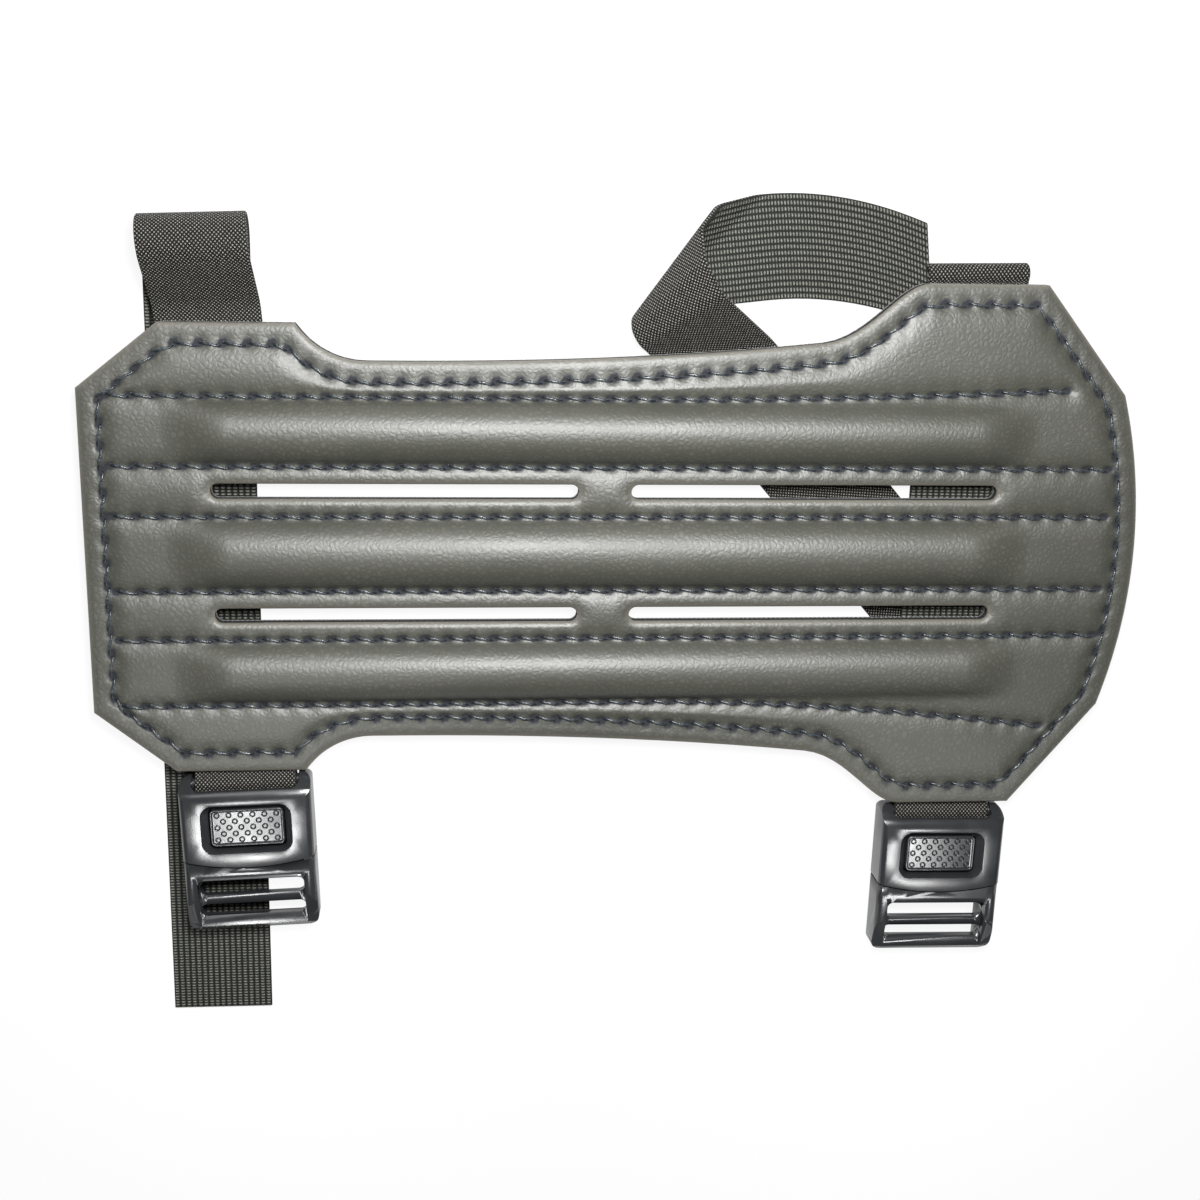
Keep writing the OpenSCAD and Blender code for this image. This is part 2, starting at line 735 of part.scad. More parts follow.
module socket() {
  inside_r = 1.6;
  color(plastic_color) difference() {
    union() {
      difference() {
        socket_body();
        translate([0, 0, -bar_height - 1]) linear_extrude(roof_under_z + bar_height + 1)
          rounded_rect(-ladder_slot_w / 2, -window_far, ladder_slot_w / 2,
            cheek_r + 2 * inside_r, inside_r);
        translate([0, 0, roof_under_z - tiny]) linear_extrude(socket_t)
          rounded_rect(-ladder_slot_w / 2, -roof_edge_y, ladder_slot_w / 2,
            cheek_r + 2 * inside_r, inside_r);
      }
      along_x(ladder_slot_w + 1) circle(bar_r, $fn = round_fn);
    }
    translate([-cavity_w / 2, -socket_length - 1, cavity_floor_z])
      cube([cavity_w, socket_length + 1 - cavity_near, cavity_roof_z - cavity_floor_z]);
    translate([0, button_y, 0]) dish();
  }
}

// The sunk dish in the socket's roof, with the opening that the pad comes up through
module dish() {
  opening_w = pad_w + 2 * pad_gap;
  opening_far = -pad_h / 2 - pad_swing_gap;
  opening_near = pad_h / 2 + pad_gap;
  lip_z = cavity_roof_z + 1;
  opening_r = 1.2;
  dish_r = 2.4;
  translate([0, 0, cavity_roof_z - tiny]) linear_extrude(socket_roof)
    rounded_rect(-opening_w / 2, opening_far, opening_w / 2, opening_near, opening_r);
  hull() {
    translate([0, 0, lip_z]) linear_extrude(tiny)
      rounded_rect(-opening_w / 2, opening_far, opening_w / 2, opening_near, opening_r,
        $fn = 32);
    translate([0, 0, socket_top + tiny]) linear_extrude(tiny)
      rounded_rect(-dish_w / 2, -dish_h / 2, dish_w / 2, dish_h / 2, dish_r, $fn = 32);
  }
}

module left_buckle_socket() { left_buckle() socket(); }
module right_buckle_socket() { right_buckle() socket(); }

// The plug: a ladder for the strap, and a frame of two rails and a tip bar that slides
// into the socket
ladder_end = socket_length + ladder_length;
plug_top = socket_top - 0.4;
plug_bottom = -bar_height + 0.2;
bar_top = plug_top - 2.2;
bar_bottom = bar_top - ladder_bar_t;
inner_slot_y = -(socket_length + 3.7);
outer_slot_y = inner_slot_y - inner_slot_h - ladder_bar_w;
frame_w = cavity_w - 2 * slide_gap;
frame_floor_z = cavity_floor_z + slide_gap;
frame_roof_z = cavity_roof_z - slide_gap;
rail_w = 1.7;
rail_t = 2.6;
tip_y = -cavity_near - slide_gap;
tip_bar = 0.9;
tip_drop = 0.3;
frame_root_y = button_y - pad_h / 2 - 1.3;

module ladder() {
  plan_r = 2.5;
  slope_end = 2.4;
  difference() {
    intersection() {
      along_x(buckle_w) polygon([
        [-socket_length + 3, plug_bottom], [-socket_length + 3, plug_top],
        [inner_slot_y - inner_slot_h, plug_top], [-ladder_end + 1, slope_end],
        [-ladder_end, slope_end - 1], [-ladder_end, plug_bottom + 1],
        [-ladder_end + 1, plug_bottom]
      ]);
      translate([0, 0, plug_bottom]) linear_extrude(plug_top - plug_bottom)
        rounded_rect(-buckle_w / 2, -ladder_end, buckle_w / 2, 0, plan_r);
      rotate([90, 0, 0]) linear_extrude(ladder_end + 1)
        rounded_rect(-buckle_w / 2, plug_bottom, buckle_w / 2, plug_top, edge_r);
    }
    split_disc(split_gap);
    translate([0, 0, bar_top]) linear_extrude(socket_t)
      rounded_rect(-ladder_slot_w / 2, -ladder_end - 4, ladder_slot_w / 2,
        inner_slot_y + 1, 1.2);
    translate([0, 0, plug_bottom - 1]) linear_extrude(socket_t + 2) {
      ladder_slot(inner_slot_y, inner_slot_h);
      ladder_slot(outer_slot_y, outer_slot_h);
    }
    translate([-ladder_slot_w / 2, -ladder_end - 1, plug_bottom - 1])
      cube([ladder_slot_w, ladder_end + 1 + inner_slot_y, bar_bottom - plug_bottom + 1]);
  }
}

module ladder_slot(y, h) {
  rounded_rect(-ladder_slot_w / 2, y - h, ladder_slot_w / 2, y, h / 2 - tiny);
}

module plug_frame() {
  root_y = -socket_length - 1.2;
  for (side = [-1, 1])
    translate([side * (frame_w - rail_w) / 2, (tip_y + root_y) / 2,
               frame_floor_z + rail_t / 2])
      cube([rail_w, tip_y - root_y, rail_t], center = true);
  translate([-frame_w / 2, tip_y - tip_bar, frame_floor_z])
    cube([frame_w, tip_bar, rail_t - tip_drop]);
  translate([-frame_w / 2, root_y, frame_floor_z])
    cube([frame_w, frame_root_y - root_y, frame_roof_z - frame_floor_z]);
}

module plug() {
  color(plastic_color) union() {
    ladder();
    plug_frame();
  }
}

module left_buckle_plug() { left_buckle() plug(); }
module right_buckle_plug() { right_buckle() plug(); }

// The button: a spring leaf rooted at the plug's tip bar, whose raised pad comes up through
// the socket's roof, with a rim and staggered rings for grip
leaf_z = frame_floor_z + rail_t - 1;
leaf_t = 1;
leaf_gap = 0.4;
leaf_w = frame_w - 2 * (rail_w + leaf_gap);
leaf_root_y = tip_y - tip_bar - 0.15;
pad_top = socket_top - 1.1;
pad_foot_z = leaf_z + leaf_t - tiny;
rim_w = 0.45;
rim_h = 0.25;
ring_wall = 0.28;
ring_rows = 5;
ring_columns = 6;
ring_pitch = (pad_w - 2 * (rim_w + ring_margin) - ring_d) / (ring_columns - 1);

module ring_grid() {
  for (row = [0 : ring_rows - 1], column = [0 : ring_columns - 1 - row % 2])
    translate([
      (column - (ring_columns - 1 - row % 2) / 2) * ring_pitch,
      (row - (ring_rows - 1) / 2) * ring_row_pitch, 0
    ]) difference() {
      cylinder(d = ring_d, h = rim_h + tiny, $fn = 24);
      translate([0, 0, -tiny]) cylinder(r = ring_d / 2 - ring_wall, h = rim_h + 1, $fn = 24);
    }
}

module button() {
  pad_r = 1;
  leaf_end_y = button_y - pad_h / 2 - 0.7;
  color(plastic_color) {
    translate([-leaf_w / 2, leaf_end_y, leaf_z])
      cube([leaf_w, leaf_root_y - leaf_end_y, leaf_t]);
    translate([0, button_y, pad_foot_z]) linear_extrude(pad_top - rim_h - pad_foot_z)
      rounded_rect(-pad_w / 2, -pad_h / 2, pad_w / 2, pad_h / 2, pad_r);
    translate([0, button_y, pad_top - rim_h - tiny]) {
      linear_extrude(rim_h + tiny) difference() {
        rounded_rect(-pad_w / 2, -pad_h / 2, pad_w / 2, pad_h / 2, pad_r);
        rounded_rect(-pad_w / 2 + rim_w, -pad_h / 2 + rim_w, pad_w / 2 - rim_w,
          pad_h / 2 - rim_w, pad_r - rim_w);
      }
      ring_grid();
    }
  }
}

module left_buckle_button() { left_buckle() button(); }
module right_buckle_button() { right_buckle() button(); }

outer_leather_panel();
lining_panel();
foam_interlining();
padding_strip_top();
padding_strip_middle();
padding_strip_bottom();
stay_top();
stay_middle();
stay_bottom();
edge_stitching();
channel_stitching_top();
channel_stitching_middle();
channel_stitching_bottom();
left_strap();
right_strap();
left_buckle_loop();
right_buckle_loop();
left_buckle_socket();
left_buckle_plug();
left_buckle_button();
right_buckle_socket();
right_buckle_plug();
right_buckle_button();
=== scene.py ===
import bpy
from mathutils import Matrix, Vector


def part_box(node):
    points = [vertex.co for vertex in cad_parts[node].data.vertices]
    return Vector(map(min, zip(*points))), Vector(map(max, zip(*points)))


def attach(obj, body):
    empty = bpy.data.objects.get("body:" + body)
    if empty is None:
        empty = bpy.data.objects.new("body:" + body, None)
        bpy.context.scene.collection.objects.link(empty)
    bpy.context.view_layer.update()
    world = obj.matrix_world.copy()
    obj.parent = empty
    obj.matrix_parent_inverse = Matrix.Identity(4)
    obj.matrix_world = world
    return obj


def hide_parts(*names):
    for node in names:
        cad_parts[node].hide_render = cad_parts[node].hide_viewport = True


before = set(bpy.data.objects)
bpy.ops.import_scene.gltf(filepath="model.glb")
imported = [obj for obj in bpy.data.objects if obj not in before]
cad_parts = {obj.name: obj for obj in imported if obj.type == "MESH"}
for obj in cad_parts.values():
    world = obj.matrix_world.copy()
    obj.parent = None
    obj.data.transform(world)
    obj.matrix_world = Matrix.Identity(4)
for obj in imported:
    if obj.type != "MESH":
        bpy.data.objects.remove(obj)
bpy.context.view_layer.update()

import bmesh
import bpy
import numpy as np
from mathutils import Matrix, Vector

# Camera, table and light. The photograph looks down on the guard from a little above its
# upper long edge. The table is plain white. Two lamps above give the soft sheen across the
# leather, and a small lamp in front of each buckle shines in its moulded plastic.
MM = 0.001
panel_low, panel_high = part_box("outer_leather_panel")
AXIS_Y = (panel_low[1] + panel_high[1]) / 2 / MM

camera_data = bpy.data.cameras.new("camera")
camera_data.lens = 48
camera_data.sensor_width = 36
camera_data.clip_start = 0.01
camera = bpy.data.objects.new("camera", camera_data)
bpy.context.scene.collection.objects.link(camera)
camera.matrix_world = Matrix((
    (0.99569, 0.00388, -0.09268, -34.22 * MM),
    (0.01841, 0.97097, 0.23848, (66.35 + AXIS_Y) * MM),
    (0.09091, -0.23916, 0.96671, 312.96 * MM),
    (0, 0, 0, 1),
))
bpy.context.scene.camera = camera
bpy.context.scene.view_settings.view_transform = "Standard"


def area_lamp(name, place, aim, size, power, spread=180):
    """A square lamp at a place, turned so that it shines at another place (metres, watts),
    with a beam that fans out by some degrees."""
    data = bpy.data.lights.new(name, "AREA")
    data.size = size
    data.energy = power
    data.spread = np.radians(spread)
    lamp = bpy.data.objects.new(name, data)
    bpy.context.scene.collection.objects.link(lamp)
    lamp.location = place
    lamp.rotation_euler = (Vector(aim) - Vector(place)).to_track_quat("-Z", "Y").to_euler()


area_lamp("overhead_lamp", (0.000, 0.115, 0.230), (-0.01, 0.04, 0.0), 0.08, 1.35)
area_lamp("high_lamp", (-0.20, 0.48, 0.48), (-0.03, 0.0, 0.0), 0.30, 0.90)
area_lamp("left_front_lamp", (-0.119, -0.169, 0.33), (-0.075, -0.056, 0.0), 0.06, 0.0098, 22)
area_lamp("right_front_lamp", (0.126, -0.187, 0.33), (0.068, -0.074, 0.0), 0.06, 0.0105, 22)

world = bpy.data.worlds.new("studio")
bpy.context.scene.world = world
world.use_nodes = True
world.node_tree.nodes["Background"].inputs["Color"].default_value = (1, 1, 1, 1)
world.node_tree.nodes["Background"].inputs["Strength"].default_value = 0.085

TABLE_HALF, TABLE_LEVEL = 4.0, -0.00005
table_mesh = bpy.data.meshes.new("table")
table_mesh.from_pydata([(x * TABLE_HALF, y * TABLE_HALF, TABLE_LEVEL)
                        for x, y in ((-1, -1), (1, -1), (1, 1), (-1, 1))], [], [(0, 1, 2, 3)])
table = bpy.data.objects.new("table", table_mesh)
bpy.context.scene.collection.objects.link(table)
table_look = bpy.data.materials.new("white_table")
table_look.use_nodes = True
nodes, links = table_look.node_tree.nodes, table_look.node_tree.links
nodes.clear()
lit = nodes.new("ShaderNodeBsdfDiffuse")
lit.inputs["Color"].default_value = (0.93, 0.93, 0.93, 1)
plain = nodes.new("ShaderNodeEmission")
rays = nodes.new("ShaderNodeLightPath")
seen = nodes.new("ShaderNodeMath")
seen.operation = "MAXIMUM"
share = nodes.new("ShaderNodeMath")
share.operation = "MULTIPLY"
share.inputs[1].default_value = 0.90
mixed = nodes.new("ShaderNodeMixShader")
shown = nodes.new("ShaderNodeOutputMaterial")
links.new(rays.outputs["Is Camera Ray"], seen.inputs[0])
links.new(rays.outputs["Is Glossy Ray"], seen.inputs[1])
links.new(seen.outputs[0], share.inputs[0])
links.new(share.outputs[0], mixed.inputs["Fac"])
links.new(lit.outputs[0], mixed.inputs[1])
links.new(plain.outputs[0], mixed.inputs[2])
links.new(mixed.outputs[0], shown.inputs["Surface"])
table_mesh.materials.append(table_look)

# The outer panel: one sheet of soft synthetic leather, about 1.2 mm thick, cut to the
# guard's outline, pressed up over three padded channels, pierced by four long slots and
# drawn down at every needle hole. Its cut edge is slightly rounded.
LEFT_X, RIGHT_X = -104.0, 104.0
LEFT_END_HALF = 31.8
LEFT_TAB_X, LEFT_TAB_END_X, LEFT_TAB_HALF = -88.5, -63.2, 44.2
WAIST_HALF, WAIST_RISE, WAIST_CURVE = 37.2, 4.3, 15.8
RIGHT_TAB_X, RIGHT_TAB_END_X, RIGHT_TAB_HALF = 58.3, 81.8, 53.2
SHOULDER_X = 38.0
RIGHT_END_HALF, RIGHT_END_BULGE = 32.0, 4.9
FACE_Z, LEATHER_Z, FOAM_Z, LINING_Z = 6.6, 5.4, 4.0, 3.2
SEAM_INSET, STITCH_PITCH = 4.0, 4.5
MIDDLE_SEAM_Y, INNER_SEAM_Y, OUTER_SEAM_Y = 7.4, 17.1, 30.5
TOP_SPREAD, BOTTOM_SPREAD, SPREAD_START, SPREAD_RUN = 2.2, 6.0, 10.0, 77.0
FURROW_REACH, HOLE_REACH = 0.9, 0.72
SLOT_Y, SLOT_HALF = 12.3, 1.5
SLOTS = ((-80.0, -9.3), (1.0, 74.5))
RIDGES = ((23.8, 5.9), (0.0, 6.6), (-23.8, 5.9))
RIDGE_X = (-89.0, 82.0)
RIDGE_RAMP, CROWN = 13.0, 3.2
CURVED_END_X = 88.0

end_radius = (RIGHT_END_HALF**2 + RIGHT_END_BULGE**2) / (2 * RIGHT_END_BULGE)


def upper_edge():
    """Upper half of the outline from left to right: straight end, tab, a circle's arc down
    to the waist, a slowly rising waist, an S curve up to the right tab, and its slope."""
    turn = np.arccos((WAIST_CURVE - LEFT_TAB_HALF + WAIST_HALF) / WAIST_CURVE)
    waist_x = LEFT_TAB_END_X + WAIST_CURVE * np.sin(turn)
    a = turn * (1 - np.linspace(0, 1, 13))
    arc = np.stack([waist_x - WAIST_CURVE * np.sin(a),
                    WAIST_HALF + WAIST_CURVE * (1 - np.cos(a))], 1)
    u = np.linspace(0, 1, 13)[1:-1]
    waist = np.stack([waist_x + u * (SHOULDER_X - waist_x), WAIST_HALF + WAIST_RISE * u**2.2], 1)
    rise = 2.2 * WAIST_RISE / (SHOULDER_X - waist_x)
    p0 = np.array([SHOULDER_X, WAIST_HALF + WAIST_RISE])
    p3 = np.array([RIGHT_TAB_X, RIGHT_TAB_HALF])
    run = RIGHT_TAB_X - SHOULDER_X
    p1 = p0 + 0.44 * run * np.array([1, rise])
    p2 = p3 - np.array([0.28 * run, 0])
    t = np.linspace(0, 1, 13)[:, None]
    shoulder = (1 - t)**3 * p0 + 3 * t * (1 - t)**2 * p1 + 3 * t**2 * (1 - t) * p2 + t**3 * p3
    return np.vstack([[LEFT_X, LEFT_END_HALF], [LEFT_TAB_X, LEFT_TAB_HALF], arc, waist, shoulder,
                      [RIGHT_TAB_END_X, RIGHT_TAB_HALF],
                      [RIGHT_X - RIGHT_END_BULGE, RIGHT_END_HALF]])


def end_arc(y):
    """X of the rounded right end at a height y: a circle's arc."""
    return RIGHT_X - end_radius + np.sqrt(end_radius**2 - y**2)


def whole_outline():
    """The closed outline, clockwise: upper edge, rounded end, and the lower edge mirrored."""
    upper = upper_edge()
    y = np.linspace(RIGHT_END_HALF, -RIGHT_END_HALF, 25)[1:-1]
    tip = np.stack([end_arc(y), y], 1)
    return np.vstack([upper, tip, upper[::-1] * [1, -1]])


def inset(points, distance):
    """Each corner of a clockwise outline moved inwards along the mean of its edges' normals,
    by the distance that keeps both edges' gaps equal."""
    before = points - np.roll(points, 1, 0)
    after = np.roll(points, -1, 0) - points
    before /= np.linalg.norm(before, axis=1)[:, None]
    after /= np.linalg.norm(after, axis=1)[:, None]
    normal = np.stack([before[:, 1] + after[:, 1], -before[:, 0] - after[:, 0]], 1)
    return points + normal * distance / (1 + (before * after).sum(1))[:, None]


def outer_seam_y(x, side):
    """Height of an outer channel's outer seam: level on the left, spreading to the right."""
    spread = TOP_SPREAD if side > 0 else BOTTOM_SPREAD
    return OUTER_SEAM_Y + spread * (np.maximum(x - SPREAD_START, 0) / SPREAD_RUN)**1.6


outline = whole_outline()
edge_seam = inset(outline, SEAM_INSET)
edge_seam = np.vstack([edge_seam, edge_seam[:1]])
seam_x = np.linspace(0, 1, 13)
SEAM_X0, SEAM_X1, OUTER_SEAM_X1 = -98.5, 97.0, 87.0
seams = {"edge_stitching": [edge_seam]}
for band, side in (("top", 1), ("bottom", -1)):
    x = SEAM_X0 + (OUTER_SEAM_X1 - SEAM_X0) * seam_x
    xi = SEAM_X0 + (SEAM_X1 - SEAM_X0) * seam_x
    seams["channel_stitching_" + band] = [
        np.stack([xi, np.full(xi.size, side * INNER_SEAM_Y)], 1),
        np.stack([x, side * outer_seam_y(x, side)], 1)]
seams["channel_stitching_middle"] = [
    np.stack([xi, np.full(xi.size, side * MIDDLE_SEAM_Y)], 1) for side in (1, -1)]


def to_path(x, y, path):
    """Distance of each point from a path, and how far along the path its nearest point is."""
    best = np.full(x.shape, 1e9)
    along = np.zeros(x.shape)
    start = 0.0
    for a, b in zip(path[:-1], path[1:]):
        length = np.hypot(*(b - a))
        if length < 1e-9:
            continue
        d = (b - a) / length
        t = np.clip((x - a[0]) * d[0] + (y - a[1]) * d[1], 0, length)
        gap = np.hypot(x - a[0] - t * d[0], y - a[1] - t * d[1])
        nearer = gap < best
        best = np.where(nearer, gap, best)
        along = np.where(nearer, start + t, along)
        start += length
    return best, along, start


def from_slots(x, y):
    """Distance outside the nearest slot's rounded rectangle."""
    gap = np.full(x.shape, 1e9)
    for x0, x1 in SLOTS:
        reach = np.maximum(np.abs(x - (x0 + x1) / 2) - ((x1 - x0) / 2 - SLOT_HALF), 0)
        gap = np.minimum(gap, np.hypot(reach, np.abs(y) - SLOT_Y) - SLOT_HALF)
    return gap


def ridges(x, y):
    """Height of the padded ridges: a circle's cap across, and a smooth ramp at each end."""
    height = np.zeros(x.shape)
    for middle, half in RIDGES:
        radius = (half**2 + CROWN**2) / (2 * CROWN)
        off = np.clip(np.abs(y - middle), 0, half)
        cap = np.sqrt(radius**2 - off**2) - (radius - CROWN)
        u = np.clip(np.minimum(x - RIDGE_X[0], RIDGE_X[1] - x) / RIDGE_RAMP, 0, 1)
        height = np.maximum(height, cap * u * u * (3 - 2 * u))
    return height


def seam_marks(x, y):
    """How far into a seam's furrow each point lies, and how near it is to a needle hole."""
    furrow, hole, nearest = np.zeros(x.shape), np.zeros(x.shape), np.full(x.shape, 1e9)
    for rows in seams.values():
        for path in rows:
            gap, along, length = to_path(x, y, path)
            pitch = length / np.floor(length / STITCH_PITCH)
            near_hole = 0.5 + 0.5 * np.cos(2 * np.pi * along / pitch)
            furrow = np.maximum(
                furrow, np.exp(-(gap / FURROW_REACH)**2) * (0.30 + 0.70 * near_hole))
            hole = np.maximum(hole, np.exp(-(gap / HOLE_REACH)**2) * near_hole**1.5)
            nearest = np.minimum(nearest, gap)
    return furrow, hole, nearest


SEAM_BAND, ROW_GAP, EDGE_ROW_GAP, END_ROW_GAP = 1.2, 2.8, 5.12, 6.37


def panel_grid(step, fine):
    """Columns across the guard and rows along it. Rows crowd at the seams and the cut edges
    and follow the lips of the slots; the last columns bend until they follow the rounded end.
    Returns each corner's place, and the squares between them, with the slots left open."""
    upper = upper_edge()
    stops = [LEFT_X, LEFT_X + 0.15, LEFT_X + 0.4, LEFT_X + 0.9, LEFT_TAB_X, LEFT_TAB_END_X,
             SHOULDER_X, RIGHT_TAB_X, RIGHT_TAB_END_X, CURVED_END_X]
    ends = []
    for x0, x1 in SLOTS:
        turn = 1 - np.cos(np.linspace(0, np.pi / 2, 8))
        ends += list(x0 + SLOT_HALF * turn) + list(x1 - SLOT_HALF * turn)
    plain_x = np.arange(LEFT_X + 1.5, CURVED_END_X, step)
    kept = np.array(stops + ends)
    plain_x = plain_x[np.abs(plain_x[:, None] - kept).min(1) > 0.3 * step]
    x = np.unique(np.round(np.concatenate([kept, plain_x]), 6))
    bend = np.zeros(x.size)
    c = np.concatenate([np.linspace(0, 0.9, int(14 / step))[1:], [0.93, 0.96, 0.985, 1.0]])
    x = np.concatenate([x, CURVED_END_X + c * (RIGHT_X - RIGHT_END_BULGE - CURVED_END_X)])
    bend = np.concatenate([bend, c])
    top = np.interp(x, upper[:, 0], upper[:, 1])
    lip = np.zeros(x.size)
    for x0, x1 in SLOTS:
        into = np.clip(np.minimum(x - x0, x1 - x), 0, SLOT_HALF)
        lip = np.maximum(lip, np.sqrt(SLOT_HALF**2 - (SLOT_HALF - into)**2))
    ring = inset(outline, SEAM_INSET)[:len(upper)]
    halves = []
    for side in (1, -1):
        edge_row = np.minimum(np.interp(x, ring[:, 0], ring[:, 1]), top - EDGE_ROW_GAP)
        edge_row = np.where(bend > 0, top - END_ROW_GAP, edge_row)
        outer_row = np.minimum(outer_seam_y(x, side), edge_row - ROW_GAP)
        inner_row = np.minimum(INNER_SEAM_Y, outer_row - ROW_GAP)
        across = np.linspace(-SEAM_BAND, SEAM_BAND, 7 if fine else 3)
        lipward = np.array([0, 0.45, 0.75, 0.92, 1.0]) if fine else np.array([0, 1.0])
        spans = [(0.0, MIDDLE_SEAM_Y - SEAM_BAND, np.linspace(0, 1, 10 if fine else 4)),
                 (MIDDLE_SEAM_Y, MIDDLE_SEAM_Y, across),
                 (MIDDLE_SEAM_Y + SEAM_BAND, SLOT_Y - lip, lipward), None,
                 (SLOT_Y + lip, inner_row - SEAM_BAND, 1 - lipward[::-1]),
                 (inner_row, inner_row, across),
                 (inner_row + SEAM_BAND, outer_row - SEAM_BAND,
                  np.linspace(0, 1, 14 if fine else 5)),
                 (outer_row, outer_row, across),
                 (outer_row + SEAM_BAND, edge_row - SEAM_BAND,
                  np.linspace(0, 1, 6 if fine else 3)),
                 (edge_row, edge_row, across),
                 (edge_row + SEAM_BAND, top, np.append(lipward[:-1], 1.0))]
        rows, gap_after = [], None
        for span in spans:
            if span is None:
                gap_after = len(rows) - 1
                continue
            low, high, share = span
            for f in share:
                row = low + f if share is across else low + f * (high - low)
                row = row + np.zeros(x.size)
                if rows and np.allclose(rows[-1], row) and len(rows) - 1 != gap_after:
                    continue
                rows.append(row)
        halves.append((np.array(rows), gap_after))
    (up, gap_up), (down, gap_down) = halves
    y = np.vstack([-down[::-1], up[1:]])
    count = len(down)
    gaps = {count - 2 - gap_down, count - 1 + gap_up}
    x = x + np.zeros(y.shape)
    x = x + bend * (end_arc(RIGHT_END_HALF * y / top) - (RIGHT_X - RIGHT_END_BULGE))
    index = np.arange(y.size).reshape(y.shape)
    for g in gaps:
        index[g + 1] = np.where(lip == 0, index[g], index[g + 1])
    squares = []
    for j in range(y.shape[0] - 1):
        if j not in gaps:
            squares.append(np.stack([index[j, :-1], index[j, 1:],
                                     index[j + 1, 1:], index[j + 1, :-1]], 1))
    squares = np.vstack(squares)
    used = np.unique(squares)
    fresh = np.zeros(y.size, int)
    fresh[used] = np.arange(used.size)
    return x.ravel()[used], y.ravel()[used], fresh[squares]


def closed_sheet(x, y, squares, top_z, under_z):
    """A sheet between two heights over the same grid, with a wall along every open edge."""
    n = x.size
    points = np.concatenate([np.stack([x, y, top_z], 1), np.stack([x, y, under_z], 1)])
    a, b = squares.ravel(), np.roll(squares, -1, 1).ravel()
    open_edge = ~np.isin(a * n + b, b * n + a)
    a, b = a[open_edge], b[open_edge]
    walls = np.stack([a, a + n, b + n, b], 1)
    return points, np.vstack([squares, squares[:, ::-1] + n, walls])


def new_piece(name, points, faces, sharp=40, uv=None, marks=None):
    """Puts millimetre points, in the guard's own frame, into a mesh piece at the origin."""
    mesh = bpy.data.meshes.new(name)
    place = (np.asarray(points) + [0, AXIS_Y, 0]) * MM
    mesh.from_pydata(place.tolist(), [], faces if isinstance(faces, list) else faces.tolist())
    mesh.update()
    mesh.shade_smooth()
    mesh.set_sharp_from_angle(angle=np.radians(sharp))
    if uv is not None:
        corner = np.zeros(len(mesh.loops), int)
        mesh.loops.foreach_get("vertex_index", corner)
        layer = mesh.uv_layers.new(name="strap")
        layer.data.foreach_set("uv", (np.asarray(uv) * MM)[corner].ravel())
    for key, value in (marks or {}).items():
        layer = mesh.attributes.new(key, "FLOAT", "POINT")
        layer.data.foreach_set("value", np.asarray(value, float))
    piece = bpy.data.objects.new(name, mesh)
    bpy.context.scene.collection.objects.link(piece)
    return piece


class Look:
    """A material made of nodes, with short ways to add a node and to join two."""

    def __init__(self, name, color, roughness, specular=0.5):
        self.material = bpy.data.materials.new(name)
        self.material.use_nodes = True
        self.tree = self.material.node_tree
        self.shader = self.tree.nodes["Principled BSDF"]
        self.shader.inputs["Base Color"].default_value = (*color, 1)
        self.shader.inputs["Roughness"].default_value = roughness
        self.shader.inputs["Specular IOR Level"].default_value = specular

    def add(self, kind, settings=None, **values):
        """A node with its settings, and the values of its sockets by their names."""
        node = self.tree.nodes.new("ShaderNode" + kind)
        for key, value in (settings or {}).items():
            setattr(node, key, value)
        for key, value in values.items():
            node.inputs[key.replace("_", " ")].default_value = value
        return node

    def join(self, source, target, output=0):
        """Links one of a node's outputs to a socket."""
        self.tree.links.new(source.outputs[output], target)

    def mix(self, share, low, high):
        """A colour that goes from one to the other as the share node goes from 0 to 1."""
        node = self.add("Mix", {"data_type": "RGBA"})
        self.join(share, node.inputs["Factor"])
        for color, socket in ((low, node.inputs[6]), (high, node.inputs[7])):
            if isinstance(color, tuple):
                socket.default_value = (*color, 1)
            else:
                self.join(color, socket, 2)
        return node

    def spread(self, source, low, high, to_low=0.0, to_high=1.0, output=0):
        """A value between low and high carried in proportion to another span."""
        node = self.add("MapRange", None, From_Min=low, From_Max=high,
                        To_Min=to_low, To_Max=to_high)
        self.join(source, node.inputs["Value"], output)
        return node

    def bump(self, height, depth, strength=1.0, under=None):
        """A bump of some metres' depth, laid over another bump where one is given."""
        node = self.add("Bump", None, Distance=depth, Strength=strength)
        self.join(height, node.inputs["Height"])
        if under is not None:
            self.join(under, node.inputs["Normal"])
        return node


PUFF, PUFF_REACH, PUFF_FADE, SLOT_FADE, FURROW_DEPTH = 0.55, 2.4, 2.5, 3.0, 0.70
MARGIN_DROP, EDGE_ROUNDING, ROUNDING_REACH, EDGE_WEAR_AND_LIGHT_REACH = 0.25, 0.45, 0.8, 0.9
RIPPLE, RIPPLE_PITCH, RIPPLE_REACH = 0.10, 5.1, 1.6
LAYER_GAP = 0.02
x, y, squares = panel_grid(step=0.75, fine=True)
furrow, hole, nearest_seam = seam_marks(x, y)
edge_gap = to_path(x, y, np.vstack([outline, outline[:1]]))[0]
cut_gap = np.minimum(edge_gap, from_slots(x, y))
ridge = ridges(x, y)
puff = PUFF * (1 - np.exp(-(nearest_seam / PUFF_REACH)**2))
puff *= np.clip((edge_gap - SEAM_INSET) / PUFF_FADE, 0, 1)
puff *= np.clip(from_slots(x, y) / SLOT_FADE, 0, 1)
margin = np.clip(1 - edge_gap / SEAM_INSET, 0, 1)
ripple = RIPPLE * np.sin(2 * np.pi * x / STITCH_PITCH) * np.sin(2 * np.pi * y / RIPPLE_PITCH)
ripple *= np.exp(-nearest_seam / RIPPLE_REACH)
rounding = EDGE_ROUNDING * (1 - np.clip(cut_gap / ROUNDING_REACH, 0, 1))**2
leather_top = FACE_Z + ridge + puff - FURROW_DEPTH * furrow
